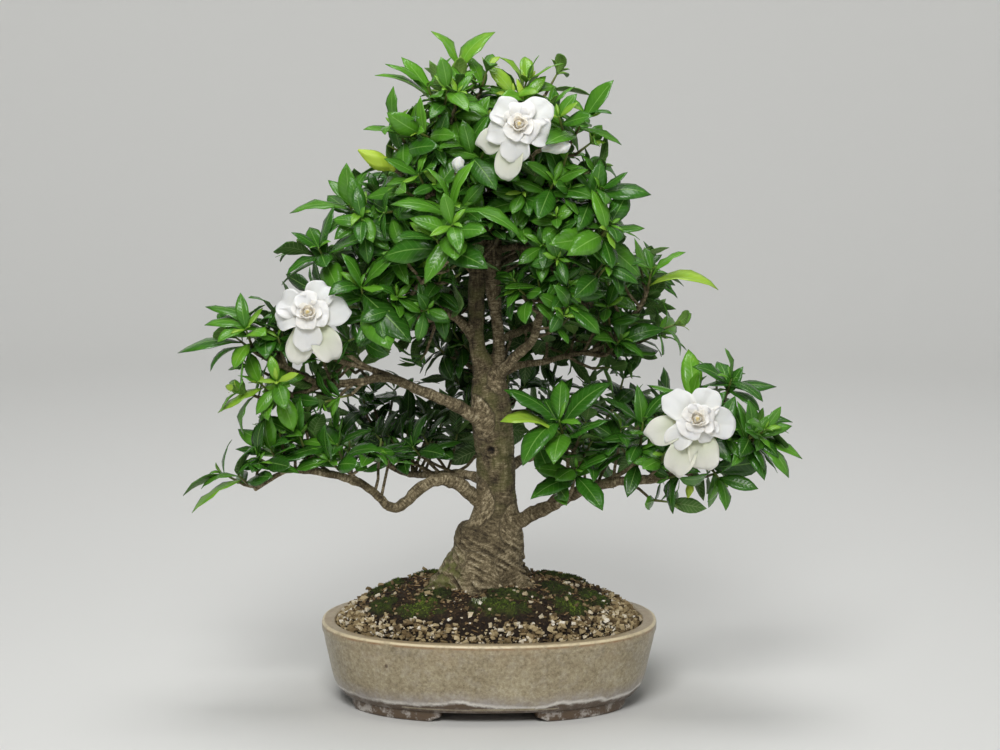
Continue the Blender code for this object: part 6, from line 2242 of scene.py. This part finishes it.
    def build_shoot(self, shoot: Shoot, leaves: list[Leaf]) -> None:
        """Make one shoot of the model, with its new leaves and a spray beside it.

        Args:
            shoot: The shoot.
            leaves: Its grown leaves.
        """
        draw = random.Random(shoot.name + "new")
        foot, top = Vector(shoot.foot), Vector(shoot.top)
        axis = (top - foot).normalized()
        route = self.wood.twig(shoot.parent, foot, axis)
        self.twigs.append(route)
        self.add_stem(foot, top)
        bm = start_mesh("tone")
        for leaf in leaves + self.tip_leaves(foot, top, shoot.leaf, shoot.age.value, draw):
            self.add_leaf(bm, leaf)
        for share in (0.55, 0.8):
            knot = Vector(route[round(share * (len(route) - 1))][:3])
            side = any_turn(draw, axis, 3) @ axis.orthogonal()
            heading = (axis * 0.5 + side + UP * 0.5).normalized()
            self.add_spray(bm, shoot, knot, heading, draw.uniform(9.0, 18.0), draw)
        self.finish_leaves(bm, "leaves_" + shoot.name.removeprefix("shoot_"), shoot.age, (shoot.name,))

    def build_fill(self, fill: Fill, number: int) -> None:
        """Make the further sprays along a branch.

        Args:
            fill: The rule for them.
            number: The rule's number.
        """
        draw = random.Random(fill.branch + str(number))
        line = smooth_route(self.wood.lines[fill.branch], 4.0)
        source = Shoot(fill.branch, fill.branch, (0, 0, 0), (0, 0, 1), 3, fill.leaf, fill.age)
        bm = start_mesh("tone")
        for spray in range(fill.sprays):
            for _ in range(4):
                share = fill.start + (fill.end - fill.start) * (spray + draw.random()) / fill.sprays
                index = min(round(share * (len(line) - 1)), len(line) - 2)
                knot = Vector(line[index][:3])
                along = (Vector(line[index + 1][:3]) - knot).normalized()
                side = any_turn(draw, along, 3) @ along.orthogonal().normalized()
                heading = (side + along * 0.4 + Vector(fill.lean)).normalized()
                if self.add_spray(bm, source, knot, heading, fill.reach * draw.uniform(0.4, 1.0), draw):
                    break
        self.finish_leaves(bm, f"foliage_{fill.branch}_{number}", fill.age)


@dataclass
class Flower:
    """One double bloom: broad outer petals in layers round a rolled heart."""

    bloom: Bloom
    columns: int = 12
    rows: int = 12
    thickness: float = 0.5
    root_back: float = 5.0
    layer_step: float = 3.4
    heart_grid: tuple = (14, 36)
    heart_height: float = 9.5
    cup: tuple = ((-3.0, 1.5), (0.0, 2.0), (3.0, 3.6), (6.0, 4.6), (8.0, 4.2), (9.0, 3.0))

    def __post_init__(self) -> None:
        """Work out the bloom's own directions."""
        self.centre = Vector(self.bloom.centre)
        self.up_way = BLOOM_FACING.cross(RIGHT).normalized()
        if self.up_way.z < 0.0:
            self.up_way = -self.up_way
        self.draw = random.Random(self.bloom.name)

    def outward(self, turn: float) -> Vector:
        """Return the direction at an angle round the bloom's middle."""
        return RIGHT * math.cos(turn) + self.up_way * math.sin(turn)

    def add_petal(self, bm: BMesh, blade: Blade, cup: float, tone: float, foot: float) -> None:
        """Add one petal.

        Args:
            bm: The mesh.
            blade: The petal's midline.
            cup: How far its sides rise toward the front, as a share of its half width.
            tone: Its tone at the tip.
            foot: How green its foot is.
        """
        side_way = blade.start_way.cross(blade.upper_way).normalized()
        phase = self.draw.uniform(*ANY_ANGLE)
        notch = self.draw.uniform(-0.5, 0.5)
        tone_layer = bm.verts.layers.float["tone"]
        foot_layer = bm.verts.layers.float["foot"]

        def place(across: float, along: float) -> Vector:
            """Find a place on the petal's rounded outline.

            Args:
                across: The share across the petal.
                along: The share along it.

            Returns:
                The place, in metres.
            """
            a = 2.0 * across - 1.0
            b = 2.0 * along - 1.0
            x = a * math.sqrt(1.0 - b * b / 2.0)
            y = b * math.sqrt(1.0 - a * a / 2.0)
            turn = math.atan2(x, y)
            point = 1.0 + 0.08 * math.exp(-((turn - notch) / 0.2) ** 2)
            point -= 0.07 * math.exp(-((turn + notch) / 0.24) ** 2)
            edge = math.hypot(x, y)
            share = 0.5 + 0.5 * y * (point if y > 0.0 else 1.0)
            spot, normal = blade.spot(share)
            half = blade.half_width * 1.2 * (0.66 + 0.52 * share)
            rise = cup * x * x * half
            rise += blade.half_width * 0.2 * edge ** 3 * math.sin(3.0 * turn + phase)
            rise += blade.half_width * 0.06 * edge ** 4 * math.sin(7.0 * turn + 2.0 * phase)
            rise -= blade.half_width * 0.12 * math.exp(-(x / 0.16) ** 2) * share
            bulge = 1.0 + 0.035 * edge ** 3 * math.sin(5.0 * turn + 3.0 * phase)
            return (spot + side_way * x * half * bulge + normal * rise) * MM

        for vert in shaped_grid(bm, self.columns, self.rows, place):
            share = (vert.co / MM - blade.root).length / blade.length
            # The foot of each petal, toward the heart, is painted warmer: partly its cream, partly painted shade.
            vert[tone_layer] = tone + 0.3 * (1.0 - smoothstep(0.05, 0.5, share))
            vert[foot_layer] = foot * (1.0 - smoothstep(0.25, 1.0, share))

    def outer(self, bm: BMesh) -> None:
        """Add the outer petals, which the model has too.

        Args:
            bm: The mesh.
        """
        for right, up, behind, half_width, layer in self.bloom.petals:
            outward = (RIGHT * right + self.up_way * up).normalized()
            root = self.centre + BLOOM_FACING * (layer * self.layer_step - self.root_back) + outward * 1.5
            tip = self.centre + Vector((right, behind, up))
            low = layer == 0 and up < 0
            blade = Blade.between(root, tip, BLOOM_FACING, math.radians(50.0), half_width, 0.0)
            self.add_petal(bm, blade, self.draw.uniform(0.05, 0.22), 0.22 if low else 0.0, 0.6 if low else 0.1)

    def inner(self, bm: BMesh) -> None:
        """Add the inner petals, smaller and more upright towards the heart.

        Args:
            bm: The mesh.
        """
        start = self.draw.uniform(*ANY_ANGLE)
        for number in range(5):
            outward = self.outward(start + 2.25 * number)
            root = self.centre + BLOOM_FACING * (2.5 + 0.5 * number) + outward * 1.2
            tip = self.centre + BLOOM_FACING * (5.0 + 1.0 * number) + outward * (17.5 - 1.8 * number)
            arch = math.radians(60.0 - 4.0 * number)
            blade = Blade.between(root, tip, BLOOM_FACING, arch, 10.4 - 1.1 * number, 0.0)
            self.add_petal(bm, blade, 0.12 + 0.06 * number, 0.02 + 0.02 * number, 0.0)

    def heart(self, bm: BMesh) -> None:
        """Add the rolled petals at the middle: a closed twist with a few small ones that hug it.

        Args:
            bm: The mesh.
        """
        tone_layer = bm.verts.layers.float["tone"]
        base = self.centre + BLOOM_FACING * 4.5
        rows, sides = self.heart_grid
        rings = []
        for row in range(rows + 1):
            share = row / rows
            wide = 4.0 * (0.55 + 0.9 * share - 1.25 * share ** 2.6) + 0.1
            ring = []
            for angle in turns(sides):
                furrow = (angle * 3.0 / FULL_TURN + 1.5 * share) % 1.0
                rise = BLOOM_FACING * (self.heart_height * share + 1.2 * furrow)
                ring.append(base + self.outward(angle) * wide * (0.6 + 0.5 * furrow) + rise)
            rings.append(ring)
        for vert in ring_skin(bm, rings):
            offset = vert.co / MM - base
            high = offset.dot(BLOOM_FACING) / self.heart_height
            away = (offset - BLOOM_FACING * offset.dot(BLOOM_FACING)).length
            # Painted shade: the heart's twist is warmer and darker toward its base and core, over its own cream.
            vert[tone_layer] = (0.25 + 0.3 * (1.0 - smoothstep(0.1, 0.8, high))
                                + 0.4 * (1.0 - smoothstep(0.6, 2.6, away)))
        for number in range(4):
            outward = self.outward(1.6 * number + self.draw.uniform(-0.3, 0.3))
            root = base + outward * 2.2
            tip = base + outward * (6.6 - 0.5 * number) + BLOOM_FACING * (8.6 + 0.6 * number)
            blade = Blade.between(root, tip, BLOOM_FACING - outward * 0.8, math.radians(-40.0), 4.6, 0.0)
            self.add_petal(bm, blade, 0.6, 0.22, 0.0)

    def build(self, petal: Material, stem: Material) -> None:
        """Make the bloom and its calyx.

        Args:
            petal: The petals' material.
            stem: The calyx's material.
        """
        bm = start_mesh("tone", "foot")
        self.outer(bm)
        self.inner(bm)
        self.heart(bm)
        piece = finish_piece(bm, self.bloom.name.replace("bloom", "flower"), (petal,), "petal", (self.bloom.name,))
        shell = piece.modifiers.new("flesh", "SOLIDIFY")
        shell.thickness = self.thickness * MM
        shell.offset = 0.0
        self.build_calyx(stem)

    def build_calyx(self, stem: Material) -> None:
        """Make the green cup behind the petals.

        Args:
            stem: Its material.
        """
        back = self.centre - BLOOM_FACING * (BLOOM_BACK + GAP)
        bm = start_mesh()
        ring_skin(bm, tube_rings([(*(back + BLOOM_FACING * along), radius) for along, radius in self.cup], 14))
        for number in range(6):
            outward = self.outward(math.pi / 3.0 * number)
            start = back + BLOOM_FACING * 5.0 + outward * 3.6
            tip = start + outward * 5.5 + BLOOM_FACING * 5.0
            ring_skin(bm, tube_rings([(*start, 1.0), (*start.lerp(tip, 0.5), 0.8), (*tip, 0.15)], 5))
        finish_piece(bm, self.bloom.name.replace("bloom", "calyx"), (stem,), "bud_lime")


@dataclass
class FlowerBud:
    """One bud: petals rolled tight in a spiral over a smooth round foot."""

    bud: Bud
    sides: int = 30
    spiral: float = 1.7

    def build(self, material: Material) -> None:
        """Make the bud.

        Args:
            material: Its material.
        """
        bud = self.bud
        base, tip = Vector(bud.base), Vector(bud.tip)
        axis = (tip - base).normalized()
        side_way = axis.cross(UP).normalized()
        up_way = axis.cross(side_way)
        profile = smooth_route(((0.0, 1.7, 0.0), (14.0, bud.radius * 42.0 / 100.0, 0.0),
                                (bud.widest * 60.0, bud.radius * 0.86, 0.0), (bud.widest * 100.0, bud.radius, 0.0),
                                (50.0 + bud.widest * 50.0, bud.radius * 0.68, 0.0), (100.0, 0.8, 0.0)), 4.0)
        rings = []
        for share, radius, _ in profile:
            ring = []
            for angle in turns(self.sides):
                furrow = (angle * 5.0 / FULL_TURN + self.spiral * share / 100.0) % 1.0
                swell = 0.82 + 0.24 * furrow if share > 12.0 else 1.0
                offset = side_way * math.cos(angle) + up_way * math.sin(angle)
                ring.append(base.lerp(tip, share / 100.0) + offset * radius * swell)
            rings.append(ring)
        bm = start_mesh()
        ring_skin(bm, rings)
        slot = "bud_lime" if bud.green else "petal"
        finish_piece(bm, "bud_fine" + bud.name.removeprefix("bud"), (material,), slot, (bud.name,))


@dataclass
class Studio:
    """The pale sweep that the pot stands on, the soft lights and the camera."""

    lens: float = 97.092
    eye: tuple = (0.010, -2.3766, 0.628)
    pitch: float = 82.0
    floor_radius: float = 2.3
    sweep_bend: float = 1.3
    sweep_run: float = 5.3
    paper: str = "#dededb"
    sky: str = "#d8dade"
    sky_strength: float = 0.14

    def build_sweep(self) -> None:
        """Make the round floor, which curves up into a wall on every side."""
        bm = start_mesh()

        def place(across: float, along: float) -> Vector:
            """Find a place on the sweep.

            Args:
                across: The share of a full turn.
                along: The share of the way out.

            Returns:
                The place, in metres.
            """
            run = along * self.sweep_run
            bend = max(run - self.floor_radius, 0.0)
            angle = min(bend / self.sweep_bend, math.pi / 2.0)
            rest = max(bend - self.sweep_bend * math.pi / 2.0, 0.0)
            reach = min(run, self.floor_radius) + self.sweep_bend * math.sin(angle)
            turn = FULL_TURN * across
            return Vector((reach * math.sin(turn), reach * math.cos(turn),
                           self.sweep_bend * (1.0 - math.cos(angle)) + rest))

        shaped_grid(bm, 96, 48, place)
        bmesh.ops.remove_doubles(bm, verts=bm.verts, dist=1e-5)
        mesh = to_mesh(bm, "sweep")
        mesh.shade_smooth()
        mesh.materials.append(Shade("matt_paper", 0.9, Base_Color=colour(self.paper)).finish(None))
        to_object("sweep", mesh)

    def add_light(self, name: str, place: tuple, size: float, power: float, aim: tuple = (0.0, 0.0, 0.3)) -> None:
        """Hang a soft light.

        Args:
            name: Its name.
            place: Its place in metres.
            size: Its side in metres.
            power: Its power in watts.
            aim: The place that it faces.
        """
        light = bpy.data.lights.new(name, "AREA")
        light.shape = "SQUARE"
        light.size = size
        light.energy = power
        lamp = to_object(name, light)
        lamp.location = place
        lamp.rotation_euler = (Vector(aim) - Vector(place)).to_track_quat("-Z", "Y").to_euler()

    def build(self) -> None:
        """Set up the studio."""
        self.build_sweep()
        self.add_light("key", (-0.25, -1.9, 1.8), 0.9, 40.0)
        self.add_light("fill", (1.6, -1.5, 0.9), 1.2, 4.0)
        self.add_light("top", (0.0, 0.0, 2.1), 0.9, 17.0)
        self.add_light("backdrop", (0.0, 1.3, 2.8), 2.4, 36.0, aim=(0.0, 4.6, 0.6))
        world = bpy.data.worlds.new("studio")
        world.use_nodes = True
        background = world.node_tree.nodes["Background"]
        background.inputs["Color"].default_value = colour(self.sky)
        background.inputs["Strength"].default_value = self.sky_strength
        scene = bpy.context.scene
        scene.world = world
        camera = bpy.data.cameras.new("camera")
        camera.lens = self.lens
        camera.sensor_width = 36.0
        camera.clip_start = 0.05
        camera.clip_end = 50.0
        eye = to_object("camera", camera)
        eye.location = self.eye
        eye.rotation_euler = (math.radians(self.pitch), 0.0, 0.0)
        scene.camera = eye
        scene.view_settings.view_transform = "Standard"


def dress_model_nodes(material: Material) -> None:
    """Give the drain screens, which stay as the model has them, their material.

    Args:
        material: The screens' material.
    """
    for name in ("drain_screen_left", "drain_screen_right"):
        node = frame["nodes"][name]
        node.data.materials.clear()
        node.data.materials.append(material)


def main() -> None:
    """Build every piece of the bonsai and the studio round it."""
    logging.basicConfig(level=logging.INFO, format="%(name)s %(message)s")
    leaf = LeafFinish().build()
    under = LeafFinish(name="leaf_underside", roughness=0.55, vein="#b8cf8e", vein_share=0.45,
                       tones=((0.0, "#3a5a26"), (0.35, "#567f38"), (0.65, "#77a044"), (1.0, "#9cbf55"))).build()
    stem = StemFinish().build()
    bark = BarkFinish().build()
    petal = PetalFinish().build()
    lime = PetalFinish(name="bud_skin", foot="#6f8f2a", tones=((0.0, "#a9c33a"), (0.45, "#b9cf4c"),
                                                               (0.75, "#9fb63a"), (1.0, "#7d9a2c"))).build()
    # Painted light: the buds' petals are a touch paler than the blooms', to brighten buds that the leaves shade.
    pale = PetalFinish(name="bud_petal", tones=((0.0, "#fbfaf4"), (1.0, "#e9e6c8"))).build()
    Studio().build()
    pot = Pot()
    pot.build(GlazeFinish().build())
    dress_model_nodes(PlasticFinish().build())
    ground = Ground(pot)
    ground.build(EarthFinish().build())
    GroundCover(ground).build(
        ToneFinish("granite_grit", ((0.0, "#4a3a24"), (0.25, "#7c6846"), (0.55, "#a3906a"), (0.8, "#c3b18a"),
                                    (1.0, "#f1eadb")), 0.8).build(),
        ToneFinish("leaf_litter", ((0.0, "#1a120a"), (0.45, "#463221"), (0.75, "#7d6340"), (1.0, "#b89b72")),
                   0.9).build(),
        ToneFinish("cushion_moss", ((0.0, "#1d2108"), (0.35, "#333f10"), (0.65, "#4c601b"), (1.0, "#7b9030")),
                   0.85).build(),
        ToneFinish("grey_lichen", ((0.0, "#6f7a58"), (0.5, "#a3ab86"), (1.0, "#d7dac0")), 0.9).build())
    wood = Wood()
    wood.build_limbs(bark)
    foliage = Foliage(wood, (leaf, under), stem)
    foliage.build()
    twigs = foliage.twigs
    for bloom in BLOOMS:
        Flower(bloom).build(petal, stem)
        foot = Vector(bloom.centre) - BLOOM_FACING * (BLOOM_BACK + GAP)
        twigs.append(wood.twig(bloom.parent, foot, BLOOM_FACING))
    for bud in BUDS:
        FlowerBud(bud).build(lime if bud.green else pale)
        foot = Vector(bud.base)
        twigs.append(wood.twig(bud.parent, foot, (Vector(bud.tip) - foot).normalized()))
    wood.build_twigs(twigs, bark)


if __name__ == "__main__":
    main()
